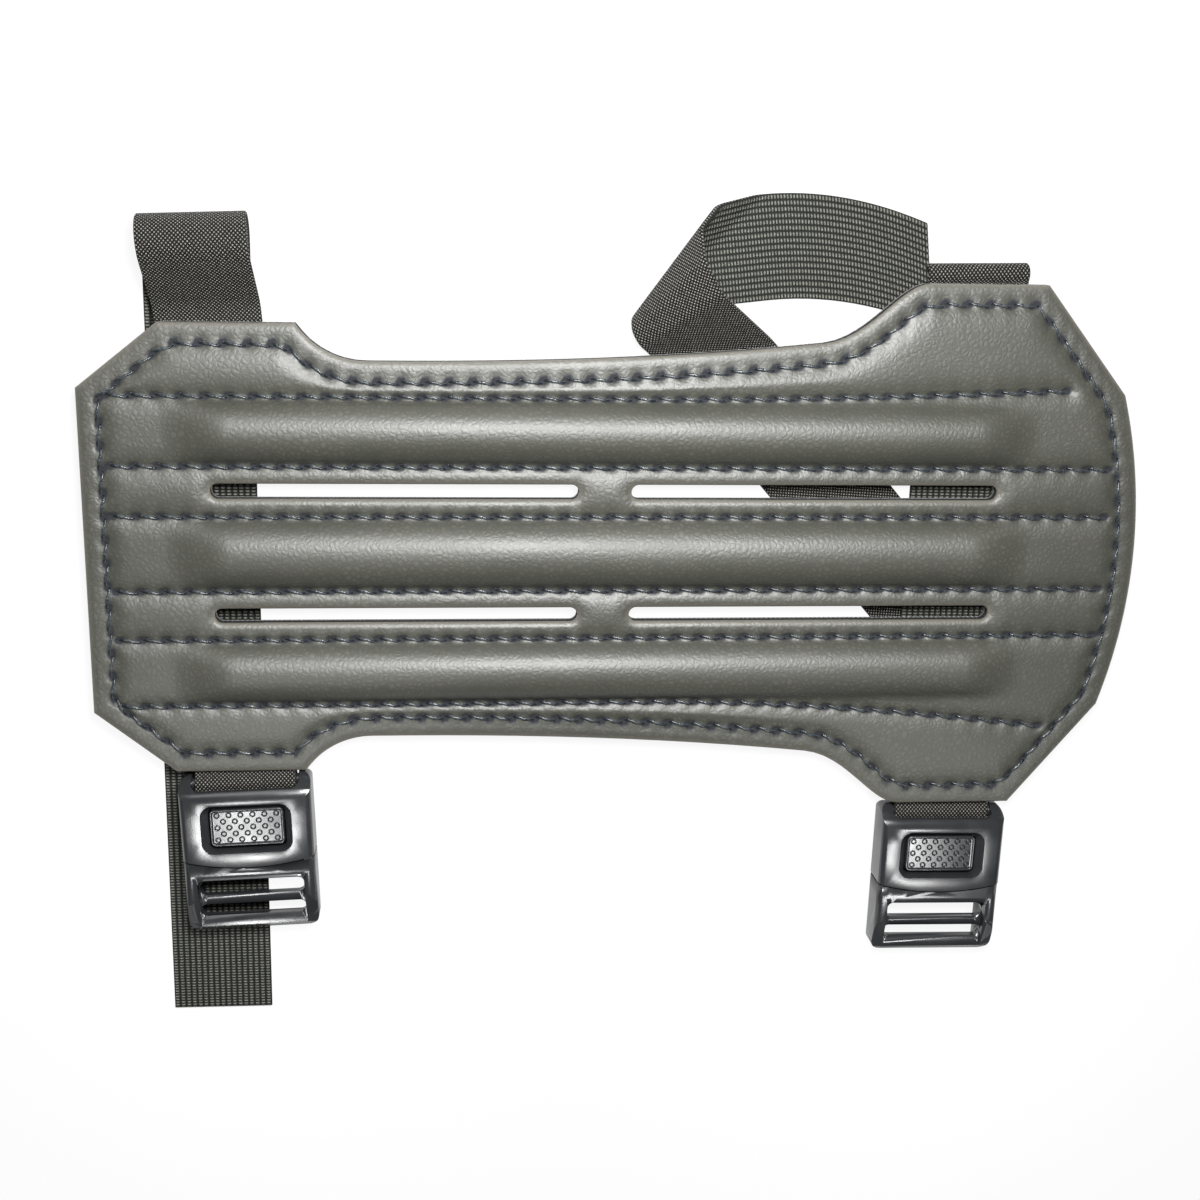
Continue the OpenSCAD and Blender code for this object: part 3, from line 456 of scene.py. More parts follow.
leather_top = leather_top - MARGIN_DROP * margin - rounding + ripple
leather_under = LEATHER_Z + LAYER_GAP + ridge
points, faces = closed_sheet(x, y, squares, leather_top, leather_under)
leather = new_piece("leather_face", points, faces, 50, marks={
    "hole": np.concatenate([hole, hole * 0]),
    "cut": np.concatenate([np.exp(-cut_gap / EDGE_WEAR_AND_LIGHT_REACH)] * 2)})

leather_look = Look("synthetic_leather", (0.085, 0.085, 0.07), 0.46, 0.9)
where = leather_look.add("TexCoord")
warp = leather_look.add("TexNoise", None, Scale=260.0, Detail=3.0)
leather_look.join(where, warp.inputs["Vector"], 3)
bend_in = leather_look.add("VectorMath", {"operation": "MULTIPLY_ADD"})
bend_in.inputs[1].default_value = (0.0012, 0.0012, 0.0012)
leather_look.join(warp, bend_in.inputs[0], 1)
leather_look.join(where, bend_in.inputs[2], 3)
cells = leather_look.add("TexVoronoi", {"feature": "DISTANCE_TO_EDGE"}, Scale=900.0, Randomness=1.0)
leather_look.join(bend_in, cells.inputs["Vector"])
fine = leather_look.add("TexNoise", None, Scale=2600.0, Detail=4.0, Roughness=0.6)
leather_look.join(where, fine.inputs["Vector"], 3)
broad = leather_look.add("TexNoise", None, Scale=45.0, Detail=5.0, Roughness=0.55)
leather_look.join(where, broad.inputs["Vector"], 3)
tone = leather_look.mix(leather_look.spread(broad, 0.35, 0.68),
                        (0.052, 0.053, 0.042), (0.074, 0.073, 0.060))
crease = leather_look.spread(cells, 0.0, 0.38)
grain = leather_look.mix(crease, (0.046, 0.047, 0.037), tone)
# Painted shade: the leather turns near-black navy at every needle hole, where the hole's shadow
# falls. The same mark also makes the leather rougher there.
hole_shade = leather_look.add("Attribute", {"attribute_name": "hole"})
shaded = leather_look.mix(leather_look.spread(hole_shade, 0.10, 0.44, output=2),
                          grain, (0.001, 0.003, 0.007))
# Lighter colour along the cut edges and the slots' lips: partly rubbed wear, partly a painted
# highlight where the flattened edge catches the light.
cut_mark = leather_look.add("Attribute", {"attribute_name": "cut"})
worn_and_lit_edge = leather_look.mix(leather_look.spread(cut_mark, 0.3, 1.0, 0.0, 0.75, output=2),
                        shaded, (0.175, 0.165, 0.140))
leather_look.join(worn_and_lit_edge, leather_look.shader.inputs["Base Color"], 2)
rough = leather_look.add("Math", {"operation": "MAXIMUM"})
leather_look.join(leather_look.spread(broad, 0.3, 0.7, 0.46, 0.54), rough.inputs[0])
leather_look.join(leather_look.spread(hole_shade, 0.12, 0.55, 0.46, 0.90, output=2), rough.inputs[1])
leather_look.join(rough, leather_look.shader.inputs["Roughness"])
grain_bump = leather_look.bump(crease, 0.00009, 0.34)
fine_bump = leather_look.bump(fine, 0.00012, 0.30, grain_bump)
leather_look.join(fine_bump, leather_look.shader.inputs["Normal"])
leather.data.materials.append(leather_look.material)
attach(leather, "guard")
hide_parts("outer_leather_panel")

# The foam interlining and the black knitted lining: two flat sheets of the same outline
# and slots, sandwiched under the leather. They show at the cut edges, and the lining's
# underside lies against the arm, where the seams draw it in.
x, y, squares = panel_grid(step=2.2, fine=False)
points, faces = closed_sheet(x, y, squares, np.full(x.size, LEATHER_Z),
                             np.full(x.size, FOAM_Z + LAYER_GAP / 2))
foam = new_piece("foam_sheet", points, faces)
foam_look = Look("dark_foam", (0.020, 0.020, 0.020), 0.95, 0.2)
where = foam_look.add("TexCoord")
pores = foam_look.add("TexVoronoi", None, Scale=2200.0)
foam_look.join(where, pores.inputs["Vector"], 3)
foam_look.join(foam_look.mix(pores, (0.012, 0.012, 0.012), (0.034, 0.034, 0.033)),
               foam_look.shader.inputs["Base Color"], 2)
foam_look.join(foam_look.bump(pores, 0.0002, 0.6), foam_look.shader.inputs["Normal"])
foam.data.materials.append(foam_look.material)
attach(foam, "guard")
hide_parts("foam_interlining")

LINING_LIFT, LINING_DRAW, LINING_SAG, SAG_REACH = 0.12, 0.20, 0.10, 2.0
x, y, squares = panel_grid(step=1.1, fine=True)
furrow, hole, nearest_seam = seam_marks(x, y)
sag = LINING_SAG * (1 - np.exp(-(nearest_seam / SAG_REACH)**2))
points, faces = closed_sheet(x, y, squares, np.full(x.size, FOAM_Z - LAYER_GAP / 2),
                             LINING_Z + LINING_LIFT + LINING_DRAW * furrow - sag)
lining = new_piece("lining_sheet", points, faces)
lining_look = Look("lining_fabric", (0.011, 0.011, 0.012), 0.85, 0.3)
lining_look.shader.inputs["Sheen Weight"].default_value = 0.25
where = lining_look.add("TexCoord")
knit_x = lining_look.add("TexWave", {"bands_direction": "X"},
                         Scale=330.0, Distortion=0.6, Detail=1.0)
knit_y = lining_look.add("TexWave", {"bands_direction": "Y"},
                         Scale=250.0, Distortion=0.6, Detail=1.0)
lining_look.join(where, knit_x.inputs["Vector"], 3)
lining_look.join(where, knit_y.inputs["Vector"], 3)
loops = lining_look.add("Math", {"operation": "MULTIPLY"})
lining_look.join(knit_x, loops.inputs[0], 1)
lining_look.join(knit_y, loops.inputs[1], 1)
lining_look.join(lining_look.mix(loops, (0.005, 0.005, 0.006), (0.028, 0.028, 0.029)),
                 lining_look.shader.inputs["Base Color"], 2)
lining_look.join(lining_look.bump(loops, 0.00025, 0.7), lining_look.shader.inputs["Normal"])
lining.data.materials.append(lining_look.material)
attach(lining, "guard")
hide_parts("lining_panel")

# Inside each channel a strip of foam fills the ridge, over a flat plastic stay that keeps
# the guard stiff along the arm. Both are closed in by the leather.
STRIP_X, STRIP_LENGTH, STRIP_RAMP, STRIP_CROWN, STRIP_CLEAR = -80.4, 153.8, 9.0, 2.25, 1.35
STRIP_UNDER_Z, STRIP_TOP_Z = 6.21, 6.22
for band, (middle, half) in zip(("top", "middle", "bottom"), RIDGES):
    u, v = np.meshgrid(np.linspace(0, 1, 60), np.linspace(-1, 1, 17))
    strip_x = STRIP_X + u * STRIP_LENGTH
    ramp = np.clip(np.minimum(u, 1 - u) * STRIP_LENGTH / STRIP_RAMP, 0, 1)
    crown = STRIP_CROWN * np.sqrt(np.clip(1 - (v * 0.97)**2, 0, 1)) * np.sqrt(1 - (1 - ramp)**2)
    width = (half - STRIP_CLEAR) * (0.75 + 0.25 * ramp)
    index = np.arange(u.size).reshape(u.shape)
    squares = np.stack([index[:-1, :-1], index[:-1, 1:], index[1:, 1:], index[1:, :-1]], 2)
    squares = squares.reshape(-1, 4)
    points, faces = closed_sheet(strip_x.ravel(), (middle + v * width).ravel(), squares,
                                 (STRIP_TOP_Z + crown).ravel(), np.full(u.size, STRIP_UNDER_Z))
    strip = new_piece("padding_" + band, points, faces)
    strip.data.materials.append(foam_look.material)
    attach(strip, "guard")
    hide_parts("padding_strip_" + band)

stay_look = Look("stay_plastic", (0.52, 0.52, 0.48), 0.45)
where = stay_look.add("TexCoord")
milk = stay_look.add("TexNoise", None, Scale=90.0, Detail=3.0)
stay_look.join(where, milk.inputs["Vector"], 3)
stay_look.join(stay_look.mix(milk, (0.48, 0.48, 0.44), (0.58, 0.58, 0.54)),
               stay_look.shader.inputs["Base Color"], 2)
stay_look.join(stay_look.bump(milk, 0.00005, 0.3), stay_look.shader.inputs["Normal"])
for band in ("top", "middle", "bottom"):
    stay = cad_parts["stay_" + band]
    stay.data.materials.clear()
    stay.data.materials.append(stay_look.material)

# The seams: thick two-ply polyester thread, nearly black with a blue-green cast, in
# stitches 4.5 mm long. Each stitch rises from one needle hole, lies slanted across the
# furrow and dives into the next.
THREAD_RADIUS, PLY_SWELL, PLY_TWIST, STITCH_SLANT, STITCH_RISE = 0.31, 0.22, 7.5, 0.35, 0.62


def stitches(path):
    """Tubes from hole to hole. Along a stitch t runs 0 to 1: its middle line is the straight
    line between two holes, slanted by 0.35 mm, its height follows a sine's arch, and its
    radius swells and shrinks twice a turn so that it looks twisted from two plies."""
    steps = np.hypot(*np.diff(path, axis=0).T)
    ends = np.concatenate([[0], np.cumsum(steps)])
    count = int(ends[-1] // STITCH_PITCH)
    s = np.linspace(0, ends[-1], count + 1)
    hole_at = np.stack([np.interp(s, ends, path[:, 0]), np.interp(s, ends, path[:, 1])], 1)
    a, b = hole_at[:-1], hole_at[1:]
    ahead = (b - a) / np.linalg.norm(b - a, axis=1)[:, None]
    aside = np.stack([-ahead[:, 1], ahead[:, 0]], 1)
    t, turn = np.meshgrid(np.linspace(0.03, 0.97, 9), np.linspace(0, 2 * np.pi, 8, endpoint=False),
                          indexing="ij")
    radius = THREAD_RADIUS * (1 + PLY_SWELL * np.cos(2 * (turn - PLY_TWIST * t)))
    radius = radius * np.sqrt(np.sin(np.pi * t) * 0.75 + 0.25)
    across, up = radius * np.cos(turn), radius * np.sin(turn)
    slant = STITCH_SLANT * np.cos(np.pi * t)
    run = t[None] * np.linalg.norm(b - a, axis=1)[:, None, None]
    off = (across + slant)[None] + 0 * run
    arch = FACE_Z - STITCH_RISE + STITCH_RISE * np.sin(np.pi * t)**0.7 + 0.10 + up
    x = a[:, 0, None, None] + run * ahead[:, 0, None, None] + off * aside[:, 0, None, None]
    y = a[:, 1, None, None] + run * ahead[:, 1, None, None] + off * aside[:, 1, None, None]
    z = arch[None] + 0 * run
    points = np.stack([x, y, z], -1).reshape(-1, 3)
    index = np.arange(t.size).reshape(t.shape)
    after = np.roll(index, -1, 1)
    one = np.stack([index[:-1], index[1:], after[1:], after[:-1]], 2).reshape(-1, 4)
    caps = np.stack([index[0][[0, 1, 2, 3]], index[0][[0, 3, 4, 7]], index[0][[4, 5, 6, 7]],
                     index[-1][[3, 2, 1, 0]], index[-1][[7, 4, 3, 0]], index[-1][[7, 6, 5, 4]]])
    one = np.vstack([one, caps])
    faces = (one[None] + t.size * np.arange(count)[:, None, None]).reshape(-1, 4)
    uv = np.stack([turn * 0.4, t * STITCH_PITCH], -1).reshape(1, -1, 2)
    uv = uv.repeat(count, 0).reshape(-1, 2)
    return points, faces, uv


thread_look = Look("dark_thread", (0.010, 0.016, 0.021), 0.30, 0.6)
thread_look.shader.inputs["Sheen Weight"].default_value = 0.15
where = thread_look.add("TexCoord")
strands = thread_look.add("TexNoise", None, Scale=2400.0, Detail=2.0)
thread_look.join(where, strands.inputs["Vector"], 3)
thread_uv = thread_look.add("UVMap", {"uv_map": "strap"})
run_of_stitch = thread_look.add("SeparateXYZ")
thread_look.join(thread_uv, run_of_stitch.inputs[0])
middle = thread_look.add("Math", {"operation": "PINGPONG"})
HALF_STITCH = STITCH_PITCH / 2 * MM
middle.inputs[1].default_value = HALF_STITCH
thread_look.join(run_of_stitch, middle.inputs[0], 1)
dry = thread_look.mix(thread_look.spread(strands, 0.4, 0.62),
                      (0.012, 0.020, 0.028), (0.070, 0.080, 0.086))
# Painted shade: each stitch darkens to near-black towards both ends, where it dives into the
# shadowed needle holes. Only its middle shows the thread's own colour.
lit_middle = thread_look.spread(middle, 0.25 * HALF_STITCH, 0.85 * HALF_STITCH)
thread_look.join(thread_look.mix(lit_middle, (0.003, 0.006, 0.011), dry),
                 thread_look.shader.inputs["Base Color"], 2)
thread_look.join(thread_look.bump(strands, 0.00012, 0.8), thread_look.shader.inputs["Normal"])
for node, rows in seams.items():
    parts = [stitches(path) for path in rows]
    shift = np.cumsum([0] + [len(p[0]) for p in parts[:-1]])
    thread = new_piece(node.replace("stitching", "thread"), np.vstack([p[0] for p in parts]),
                       np.vstack([p[1] + s for p, s in zip(parts, shift)]), 70,
                       uv=np.vstack([p[2] for p in parts]))
    thread.data.materials.append(thread_look.material)
    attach(thread, "guard")
    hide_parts(node)

# The two straps: 20 mm elastic, 1 mm thick, sewn behind the upper tabs. Each loops over
# and runs back under the guard. One side shows fine twill, the other lengthwise ribs.
STRAP_WIDTH, STRAP_T = 20.0, 1.0
RIBS, RIB_DEPTH = 17, 0.10
SEWN_LENGTH = 14.0
SEWN_Z = 2.7
TABLE_Z = 0.5


def bent(points, bends):
    """A flat strap's points (along, across, up) carried round its bends, the last bend first.
    Past a bend's line, distance becomes arc length on a circle, and what lies beyond the
    arc goes on straight from its end."""
    p = np.array(points, float)
    flat = p.copy()
    for start, skew, radius, angle in reversed(bends):
        c, k = np.cos(np.radians(skew)), np.sin(np.radians(skew))
        full, side = np.radians(abs(angle)), np.sign(angle)
        t = (flat[:, 0] - start) * c + flat[:, 1] * k
        a = np.clip(t / radius, 0, full)
        ahead = (p[:, 0] - start) * c + p[:, 1] * k
        across = -(p[:, 0] - start) * k + p[:, 1] * c
        up = p[:, 2] * side
        rest = np.where(t > radius * full, ahead - radius * full, 0)
        reach = np.where(t <= 0, ahead, (radius - up) * np.sin(a) + rest * np.cos(a))
        rise = np.where(t <= 0, up, radius - (radius - up) * np.cos(a) + rest * np.sin(a))
        p = np.stack([start + reach * c - across * k, reach * k + across * c, rise * side], 1)
    return p


def bend_length(b):
    """How much of the strap a bend takes up along the strap's middle."""
    return b[2] * np.radians(abs(b[3])) / np.cos(np.radians(b[1]))


def loop_of(skew, rise, foot, radius):
    """The foot bend and the curl of a loop that starts level at the sewn end's height and
    comes back level on the table, with a straight piece between that makes up the height."""
    r = np.radians(rise)
    straight = (TABLE_Z - SEWN_Z - foot * (1 - np.cos(r)) + radius * (1 + np.cos(r))) / np.sin(r)
    first = (SEWN_LENGTH, skew, foot, rise)
    start = SEWN_LENGTH + bend_length(first) + max(straight, 0) / np.cos(np.radians(skew))
    return [first, (start, skew, radius, -(180 + rise))]


def strap_section():
    """The strap's cut section as a ring: twill side flat, ribbed side with 17 shallow ribs."""
    half, corner = STRAP_WIDTH / 2, 0.25
    w = np.linspace(corner - half, half - corner, 103)
    wave_across = np.cos(2 * np.pi * (w + half) / (STRAP_WIDTH / RIBS))
    ribbed = STRAP_T / 2 - RIB_DEPTH * (0.5 + 0.5 * wave_across)
    upper = np.stack([w, np.full(w.size, STRAP_T / 2 - 0.03)], 1)
    lower = np.stack([w[::-1], -ribbed[::-1]], 1)
    edge = np.array([[half, corner], [half + 0.05, 0.0], [half, -corner]])
    return np.vstack([upper, edge, lower, -edge])


def strap_piece(name, bends, length, place, bow=0.0, bow_start=0.0):
    """The strap's section carried along its stations, laid flat, bent, and put in place.
    A station's skew follows the bends, so that its ring lies along the bend's own line.
    The place is x, y and a turn in degrees, and past bow_start the strap bows sideways."""
    marks, skews = [0.0], [0.0]
    for b in bends:
        marks += [b[0], b[0] + bend_length(b)]
        skews += [b[1], b[1]]
    marks.append(length)
    skews.append(0.0)
    s = [0.0]
    for i, (m0, m1) in enumerate(zip(marks[:-1], marks[1:])):
        turning = i % 2 == 1
        parts = 14 if turning else max(int((m1 - m0) / 1.6), 1)
        s += list(np.linspace(m0, m1, parts + 1)[1:])
    s = np.array(s)
    skew = np.tan(np.radians(np.interp(s, marks, skews)))
    ring = strap_section()
    w, z = ring[:, 0], ring[:, 1]
    along = s[:, None] - w[None] * skew[:, None]
    grow = np.clip((along - bow_start) / (length - bow_start), 0, 1) if bow else 0 * along
    flat = np.stack([along, w[None] + bow * grow**2, z[None] + 0 * along], -1).reshape(-1, 3)
    p = bent(flat, bends)
    x0, y0, turn = place[0], place[1], np.radians(place[2])
    points = np.stack([x0 - p[:, 1] * np.cos(turn) - p[:, 0] * np.sin(turn),
                       y0 - p[:, 1] * np.sin(turn) + p[:, 0] * np.cos(turn),
                       SEWN_Z + p[:, 2]], 1)
    index = np.arange(len(flat)).reshape(along.shape)
    after = np.roll(index, -1, 1)
    faces = np.stack([index[:-1], after[:-1], after[1:], index[1:]], 2).reshape(-1, 4).tolist()
    faces += [index[0][::-1].tolist(), index[-1].tolist()]
    uv = np.stack([np.broadcast_to(w, along.shape).ravel(), along.ravel()], 1)
    side = np.broadcast_to(np.where(z > 0.1, 1.0, np.where(z < -0.1, 0.0, 0.5)), along.shape)
    return new_piece(name, points, faces, 60, uv, {"twill": side.ravel()})


# The woven look follows the strap's own UV map, in metres across and along.
elastic_look = Look("elastic_webbing", (0.030, 0.030, 0.028), 0.66, 0.08)
elastic_look.shader.inputs["Sheen Weight"].default_value = 0.03
uv_in = elastic_look.add("UVMap", {"uv_map": "strap"})
split = elastic_look.add("SeparateXYZ")
elastic_look.join(uv_in, split.inputs[0])


def wave(source, output, pitch, phase=0.0):
    """0 to 1 and back over each pitch, in millimetres, of one of the UV's two directions."""
    scaled = elastic_look.add("Math", {"operation": "MULTIPLY_ADD"})
    scaled.inputs[1].default_value = 2 * np.pi / (pitch * MM)
    scaled.inputs[2].default_value = phase
    elastic_look.join(source, scaled.inputs[0], output)
    sine = elastic_look.add("Math", {"operation": "SINE"})
    elastic_look.join(scaled, sine.inputs[0])
    return elastic_look.spread(sine, -1.0, 1.0)


def product(a, b):
    """Two nodes' values multiplied."""
    node = elastic_look.add("Math", {"operation": "MULTIPLY"})
    elastic_look.join(a, node.inputs[0])
    elastic_look.join(b, node.inputs[1])
    return node


diagonal = elastic_look.add("Math", {"operation": "ADD"})
counter = elastic_look.add("Math", {"operation": "SUBTRACT"})
for node in (diagonal, counter):
    elastic_look.join(split, node.inputs[0], 0)
    elastic_look.join(split, node.inputs[1], 1)
twill = product(wave(diagonal, 0, 0.76), wave(counter, 0, 0.76))
ribs = product(wave(split, 0, STRAP_WIDTH / RIBS, np.pi / 2), wave(split, 1, 0.62))
fibre = elastic_look.add("TexNoise", None, Scale=2500.0, Detail=3.0)
elastic_look.join(uv_in, fibre.inputs["Vector"])
twill_color = elastic_look.mix(elastic_look.spread(twill, 0.22, 0.75),
                               (0.006, 0.006, 0.005), (0.300, 0.288, 0.262))
rib_color = elastic_look.mix(elastic_look.spread(ribs, 0.08, 0.62),
                             (0.010, 0.011, 0.009), (0.185, 0.188, 0.166))
twill_side = elastic_look.add("Attribute", {"attribute_name": "twill"})
woven = elastic_look.add("Mix", {"data_type": "RGBA"})
elastic_look.join(twill_side, woven.inputs["Factor"], 2)
elastic_look.join(rib_color, woven.inputs[6], 2)
elastic_look.join(twill_color, woven.inputs[7], 2)
fuzz = elastic_look.mix(elastic_look.spread(fibre, 0.40, 0.72, 0.0, 0.70),
                        woven, (0.012, 0.013, 0.011))
elastic_look.join(fuzz, elastic_look.shader.inputs["Base Color"], 2)
weave_height = elastic_look.add("Mix", {"data_type": "FLOAT"})
elastic_look.join(twill_side, weave_height.inputs["Factor"], 2)
elastic_look.join(ribs, weave_height.inputs[2])
elastic_look.join(twill, weave_height.inputs[3])
elastic_look.join(elastic_look.bump(weave_height, 0.00030, 0.8),
                  elastic_look.shader.inputs["Normal"])

# Each bend is where it starts along the strap, its skew, its radius and its angle. The
# right strap folds over under the guard, comes out again and curls back in five folds.
LEFT_RUN, RIGHT_FREE_RUN, RIGHT_BOW = 157.0, 32.5, 8.6
CURL_FOLDS, CURL_TURN, FOLD_GAP = 5, 213.6, 2.3
CURL_SKEW, CURL_RADIUS = (5.2, 50.9), (3.0, 3.1)
left_bends = loop_of(-2.6, 39.0, 5.0, 5.0)
left_length = left_bends[1][0] + bend_length(left_bends[1]) + LEFT_RUN
left_strap = strap_piece("left_elastic_strap", left_bends, left_length,
                         (-78.4, LEFT_TAB_HALF + 1.4 - SEWN_LENGTH, 5.0))

right_bends = loop_of(-1.7, 34.6, 1.0, 1.5)
run_start = right_bends[1][0] + bend_length(right_bends[1])
climb = (run_start + 12.0, 0.0, 30.0, -4.0)
level = (climb[0] + bend_length(climb) + 15.107, 0.0, 30.0, 4.0)
under_fold = (run_start + 71.8, -21.0, 0.53, 180.0)
curl_foot = (under_fold[0] + bend_length(under_fold) + 68.4, -36.3, 10.5, 47.1)
right_bends += [climb, level, under_fold, curl_foot]
s = curl_foot[0] + curl_foot[2] * np.radians(curl_foot[3]) + 9.7
for share in np.linspace(0, 1, CURL_FOLDS):
    part = (s, CURL_SKEW[0] + (CURL_SKEW[1] - CURL_SKEW[0]) * share,
            CURL_RADIUS[0] + (CURL_RADIUS[1] - CURL_RADIUS[0]) * share, -CURL_TURN / CURL_FOLDS)
    right_bends.append(part)
    s = part[0] + bend_length(part) + FOLD_GAP
settle = (s + 6.2, 54.4, 26.3, 3.2)
right_bends.append(settle)
free_start = settle[0] + settle[2] * np.radians(settle[3])
right_strap = strap_piece("right_elastic_strap", right_bends, free_start + RIGHT_FREE_RUN,
                          (69.3, RIGHT_TAB_HALF - SEWN_LENGTH, 2.8), RIGHT_BOW, free_start)
for strap, node in ((left_strap, "left_strap"), (right_strap, "right_strap")):
    strap.data.materials.append(elastic_look.material)
    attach(strap, "guard")
    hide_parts(node)

# The short elastic loops behind the lower tabs: the same elastic, passed round the
# buckle's bar and sewn back on itself between the lining and the tab.
BAR_OFFSET = 2.9
EYE_RADIUS = 1.9
SEWN_RUNS = (16.6, 12.0, 8.0, 5.2)
LOOP_SQUEEZE = (0.995, 0.98)
BUCKLES = {"left": (-75.3, -LEFT_TAB_HALF - BAR_OFFSET, 4.2, 2.0),
           "right": (68.2, -RIGHT_TAB_HALF - BAR_OFFSET, 3.0, -1.0)}


def at_buckle(points, side):
    """Points in the buckle's own frame, whose origin is its bar, in the guard's frame."""
    x0, y0, z0, turn = BUCKLES[side]
    c, k = np.cos(np.radians(turn)), np.sin(np.radians(turn))
    p = np.asarray(points, float)
    return np.stack([x0 + p[:, 0] * c - p[:, 1] * k,
                     y0 + p[:, 0] * k + p[:, 1] * c, z0 + p[:, 2]], 1)


for side in BUCKLES:
    ply = LINING_Z - BUCKLES[side][2] - STRAP_T / 2
    angle = np.radians(np.linspace(62, 292, 34))
    eye = EYE_RADIUS * np.stack([np.cos(angle), np.sin(angle)], 1)
    over = [[run, ply] for run in SEWN_RUNS] + [[3.9, ply + 0.10], [2.8, 0.56 * ply + 0.572]]
    back = [[run, ply - STRAP_T] for run in (3.4, *SEWN_RUNS[::-1])]
    knots = np.vstack([over, eye, back])
    gap = np.concatenate([[0], np.cumsum(np.hypot(*np.diff(knots, axis=0).T))])
    t = np.linspace(0, gap[-1], 110)
    line = np.stack([np.interp(t, gap, knots[:, 0]), np.interp(t, gap, knots[:, 1])], 1)
    for _ in range(3):
        line[1:-1] = 0.25 * line[:-2] + 0.5 * line[1:-1] + 0.25 * line[2:]
    ahead = np.gradient(line, axis=0)
    ahead /= np.linalg.norm(ahead, axis=1)[:, None]
    outward = np.stack([ahead[:, 1], -ahead[:, 0]], 1)
    ring = strap_section() * LOOP_SQUEEZE
    w, z = ring[:, 0], ring[:, 1]
    yz = line[:, None] + z[None, :, None] * outward[:, None]
    points = np.stack([np.broadcast_to(w, yz.shape[:2]), yz[..., 0], yz[..., 1]], -1).reshape(-1, 3)
    index = np.arange(len(points)).reshape(yz.shape[:2])
    after = np.roll(index, -1, 1)
    faces = np.stack([index[:-1], index[1:], after[1:], after[:-1]], 2).reshape(-1, 4)
    caps = [index[0].tolist(), index[-1][::-1].tolist()]
    uv = np.stack([np.broadcast_to(w, yz.shape[:2]).ravel(),
                   np.broadcast_to(t[:, None], yz.shape[:2]).ravel()], 1)
    twill_mark = np.broadcast_to(np.where(z > 0.1, 1.0, 0.0), yz.shape[:2]).ravel()
    piece = new_piece(side + "_elastic_loop", at_buckle(points, side), faces.tolist() + caps,
                      60, uv, {"twill": twill_mark})
    piece.data.materials.append(elastic_look.material)
    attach(piece, "guard")
    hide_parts(side + "_buckle_loop")

# The buckles: moulded black plastic with a satin surface and rounded edges. The socket
# holds the bar, and the plug carries the ladder for the strap. Their edges are rounded
# here by a bevel on the solids' own shapes.
BUCKLE_HALF = 11.5
CROWN_RISE, EDGE_ROUND = 0.42, 0.42


def plastic_of(side):
    """Black plastic in the buckle's own directions. Its faces are very slightly crowned from
    side to side, by a fraction of a millimetre, which gathers the light in the middle."""
    look = Look(side + "_buckle_plastic", (0.016, 0.017, 0.018), 0.24, 0.6)
    where = look.add("TexCoord")
    x0, y0, z0, turn = BUCKLES[side]
    own = look.add("Mapping", {"vector_type": "TEXTURE"},
                   Location=(x0 * MM, (y0 + AXIS_Y) * MM, z0 * MM),
                   Rotation=(0, 0, np.radians(turn)), Scale=(BUCKLE_HALF * MM,) * 3)
    look.join(where, own.inputs["Vector"], 3)
    mould = look.add("TexNoise", None, Scale=1800.0, Detail=3.0)
    look.join(where, mould.inputs["Vector"], 3)
    cloud = look.add("TexNoise", None, Scale=140.0, Detail=4.0)
    look.join(where, cloud.inputs["Vector"], 3)
    look.join(look.mix(cloud, (0.012, 0.013, 0.015), (0.030, 0.031, 0.033)),
              look.shader.inputs["Base Color"], 2)
    look.join(look.spread(cloud, 0.3, 0.7, 0.21, 0.29), look.shader.inputs["Roughness"])
    across = look.add("SeparateXYZ")
    look.join(own, across.inputs[0])
    square = look.add("Math", {"operation": "MULTIPLY"})
    look.join(across, square.inputs[0])
    look.join(across, square.inputs[1])
    fall = look.add("Math", {"operation": "SUBTRACT"})
    fall.inputs[0].default_value = 1.0
    look.join(square, fall.inputs[1])
    crown = look.bump(fall, CROWN_RISE * MM)
    look.join(look.bump(mould, 0.00006, 0.16, crown), look.shader.inputs["Normal"])
    return look


plastic_looks = {side: plastic_of(side) for side in BUCKLES}


def between_corners(values, step=1.6, clear=1.1):
    """Places along one direction that lie between a solid's own corners, about a step apart
    and clear of them."""
    corners = np.unique(np.round(values, 2))
    lines = []
    for a, b in zip(corners[:-1], corners[1:]):
        if b - a > 2 * clear:
            lines += list(np.linspace(a + clear, b - clear, 2 + int((b - a - 2 * clear) / step)))
    return lines


for side in BUCKLES:
    for part in ("socket", "plug"):
        node = side + "_buckle_" + part
        shape = bmesh.new()
        shape.from_mesh(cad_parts[node].data)
        bmesh.ops.remove_doubles(shape, verts=shape.verts, dist=2e-6)
        bmesh.ops.join_triangles(shape, faces=shape.faces, angle_face_threshold=np.radians(1.0),
                                 angle_shape_threshold=np.radians(179))
        x0, y0, z0, turn = BUCKLES[side]
        own_x = np.array([np.cos(np.radians(turn)), np.sin(np.radians(turn)), 0])
        own_y = np.array([-own_x[1], own_x[0], 0])
        corners = np.array([corner.co for corner in shape.verts])
        for across in (own_x, own_y):
            for line in between_corners(corners @ across / MM):
                bmesh.ops.bisect_plane(shape, geom=shape.verts[:] + shape.edges[:] + shape.faces[:],
                                       plane_co=across * line * MM, plane_no=across, dist=1e-7)
        mesh = bpy.data.meshes.new(side + "_moulded_" + part)
        shape.to_mesh(mesh)
        shape.free()
        piece = bpy.data.objects.new(side + "_moulded_" + part, mesh)
        bpy.context.scene.collection.objects.link(piece)
        mesh.shade_smooth()
        rounding = piece.modifiers.new("rounded_edges", "BEVEL")
        rounding.width = EDGE_ROUND * MM
        rounding.segments = 3
        rounding.limit_method = "ANGLE"
        rounding.angle_limit = np.radians(32)
        rounding.miter_outer = "MITER_ARC"
        mesh.materials.append(plastic_looks[side].material)
        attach(piece, side + "_" + part)
        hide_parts(node)

# The buttons: the pad of a sprung tongue that comes up through the socket's roof. Its
# face has a raised rim and staggered raised rings for grip.
ARC_POINTS = 10


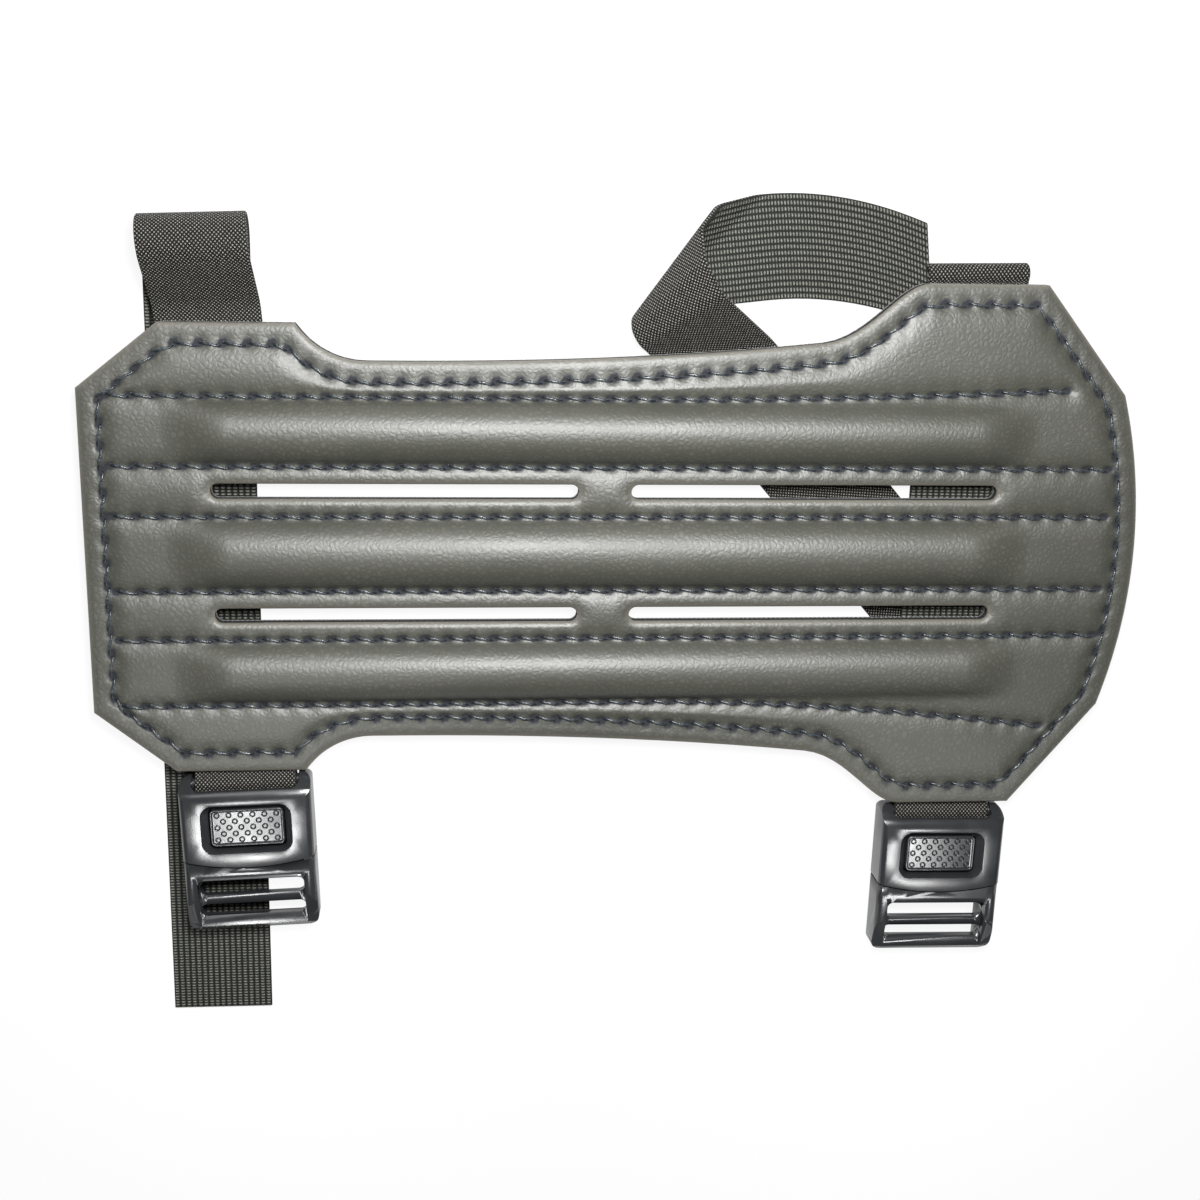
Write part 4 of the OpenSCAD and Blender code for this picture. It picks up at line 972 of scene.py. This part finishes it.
def rounded_ring(width, height, radius):
    """A rounded rectangle's corner arcs, as a ring of points about its middle."""
    a = np.linspace(0, np.pi / 2, ARC_POINTS)
    ring = []
    for k, (sx, sy) in enumerate(((1, 1), (-1, 1), (-1, -1), (1, -1))):
        turn = a + k * np.pi / 2
        ring.append(np.stack([sx * (width / 2 - radius) + radius * np.cos(turn),
                              sy * (height / 2 - radius) + radius * np.sin(turn)], 1))
    return np.vstack(ring)


def stacked(levels):
    """Rounded rectangles of (width, height, corner radius, z) joined one above the other."""
    rings = [np.column_stack([rounded_ring(w, h, r), np.full(4 * ARC_POINTS, z)])
             for w, h, r, z in levels]
    index = np.arange(4 * ARC_POINTS * len(rings)).reshape(len(rings), 4 * ARC_POINTS)
    after = np.roll(index, -1, 1)
    faces = np.stack([index[:-1], after[:-1], after[1:], index[1:]], 2).reshape(-1, 4).tolist()
    faces += [index[0][::-1].tolist(), index[-1].tolist()]
    return np.vstack(rings), faces


PAD_Y, PAD_W, PAD_H, PAD_TOP = -8.3, 14.6, 7.8, 3.9
LEAF_Y, LEAF_W, LEAF_H = -9.325, 15.6, 7.15
GRIP_RADIUS, GRIP_TUBE, GRIP_RISE, GRIP_SINK = 0.47, 0.16, 0.22, 0.25
GRIP_ROWS, GRIP_COLUMNS, GRIP_ROW, GRIP_STEP = 5, 6, 1.3, 2.35
for side in BUCKLES:
    pad, pad_faces = stacked([
        (PAD_W - less, PAD_H - less, corner, z) for less, corner, z in (
            (0.00, 1.00, 0.85), (0.00, 1.00, PAD_TOP - 0.22), (0.12, 0.95, PAD_TOP - 0.06),
            (0.34, 0.85, PAD_TOP), (0.70, 0.70, PAD_TOP), (0.92, 0.60, PAD_TOP - 0.08),
            (1.06, 0.55, PAD_TOP - 0.27), (1.30, 0.50, PAD_TOP - 0.30),
            (1.50, 0.45, PAD_TOP - 0.30), (1.80, 0.40, PAD_TOP - 0.30))])
    points, faces = [pad + [0, PAD_Y, 0]], list(pad_faces)
    count = len(pad)
    leaf, leaf_faces = stacked([
        (LEAF_W - 0.3, LEAF_H - 0.25, 0.3, -0.1), (LEAF_W, LEAF_H, 0.4, 0.05),
        (LEAF_W, LEAF_H, 0.4, 0.78), (LEAF_W - 0.3, LEAF_H - 0.25, 0.3, 0.9)])
    points.append(leaf + [0, LEAF_Y, 0])
    faces += [[i + count for i in f] for f in leaf_faces]
    count += len(leaf)
    around, tube = np.meshgrid(np.linspace(0, 2 * np.pi, 16, endpoint=False),
                               np.linspace(0, 2 * np.pi, 8, endpoint=False), indexing="ij")
    reach = GRIP_RADIUS + GRIP_TUBE * np.cos(tube)
    torus = np.stack([reach * np.cos(around), reach * np.sin(around),
                      PAD_TOP - GRIP_SINK + GRIP_RISE * np.sin(tube)], -1).reshape(-1, 3)
    index = np.arange(tube.size).reshape(tube.shape)
    right, up = np.roll(index, -1, 0), np.roll(index, -1, 1)
    torus_faces = np.stack([index, right, np.roll(right, -1, 1), up], 2).reshape(-1, 4)
    for row in range(GRIP_ROWS):
        last = GRIP_COLUMNS - 1 - row % 2
        for column in range(last + 1):
            points.append(torus + [(column - last / 2) * GRIP_STEP,
                                   PAD_Y + (row - (GRIP_ROWS - 1) / 2) * GRIP_ROW, 0])
            faces += (torus_faces + count).tolist()
            count += len(torus)
    piece = new_piece(side + "_moulded_button", at_buckle(np.vstack(points), side), faces, 50)
    piece.data.materials.append(plastic_looks[side].material)
    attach(piece, side + "_button")
    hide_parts(side + "_buckle_button")
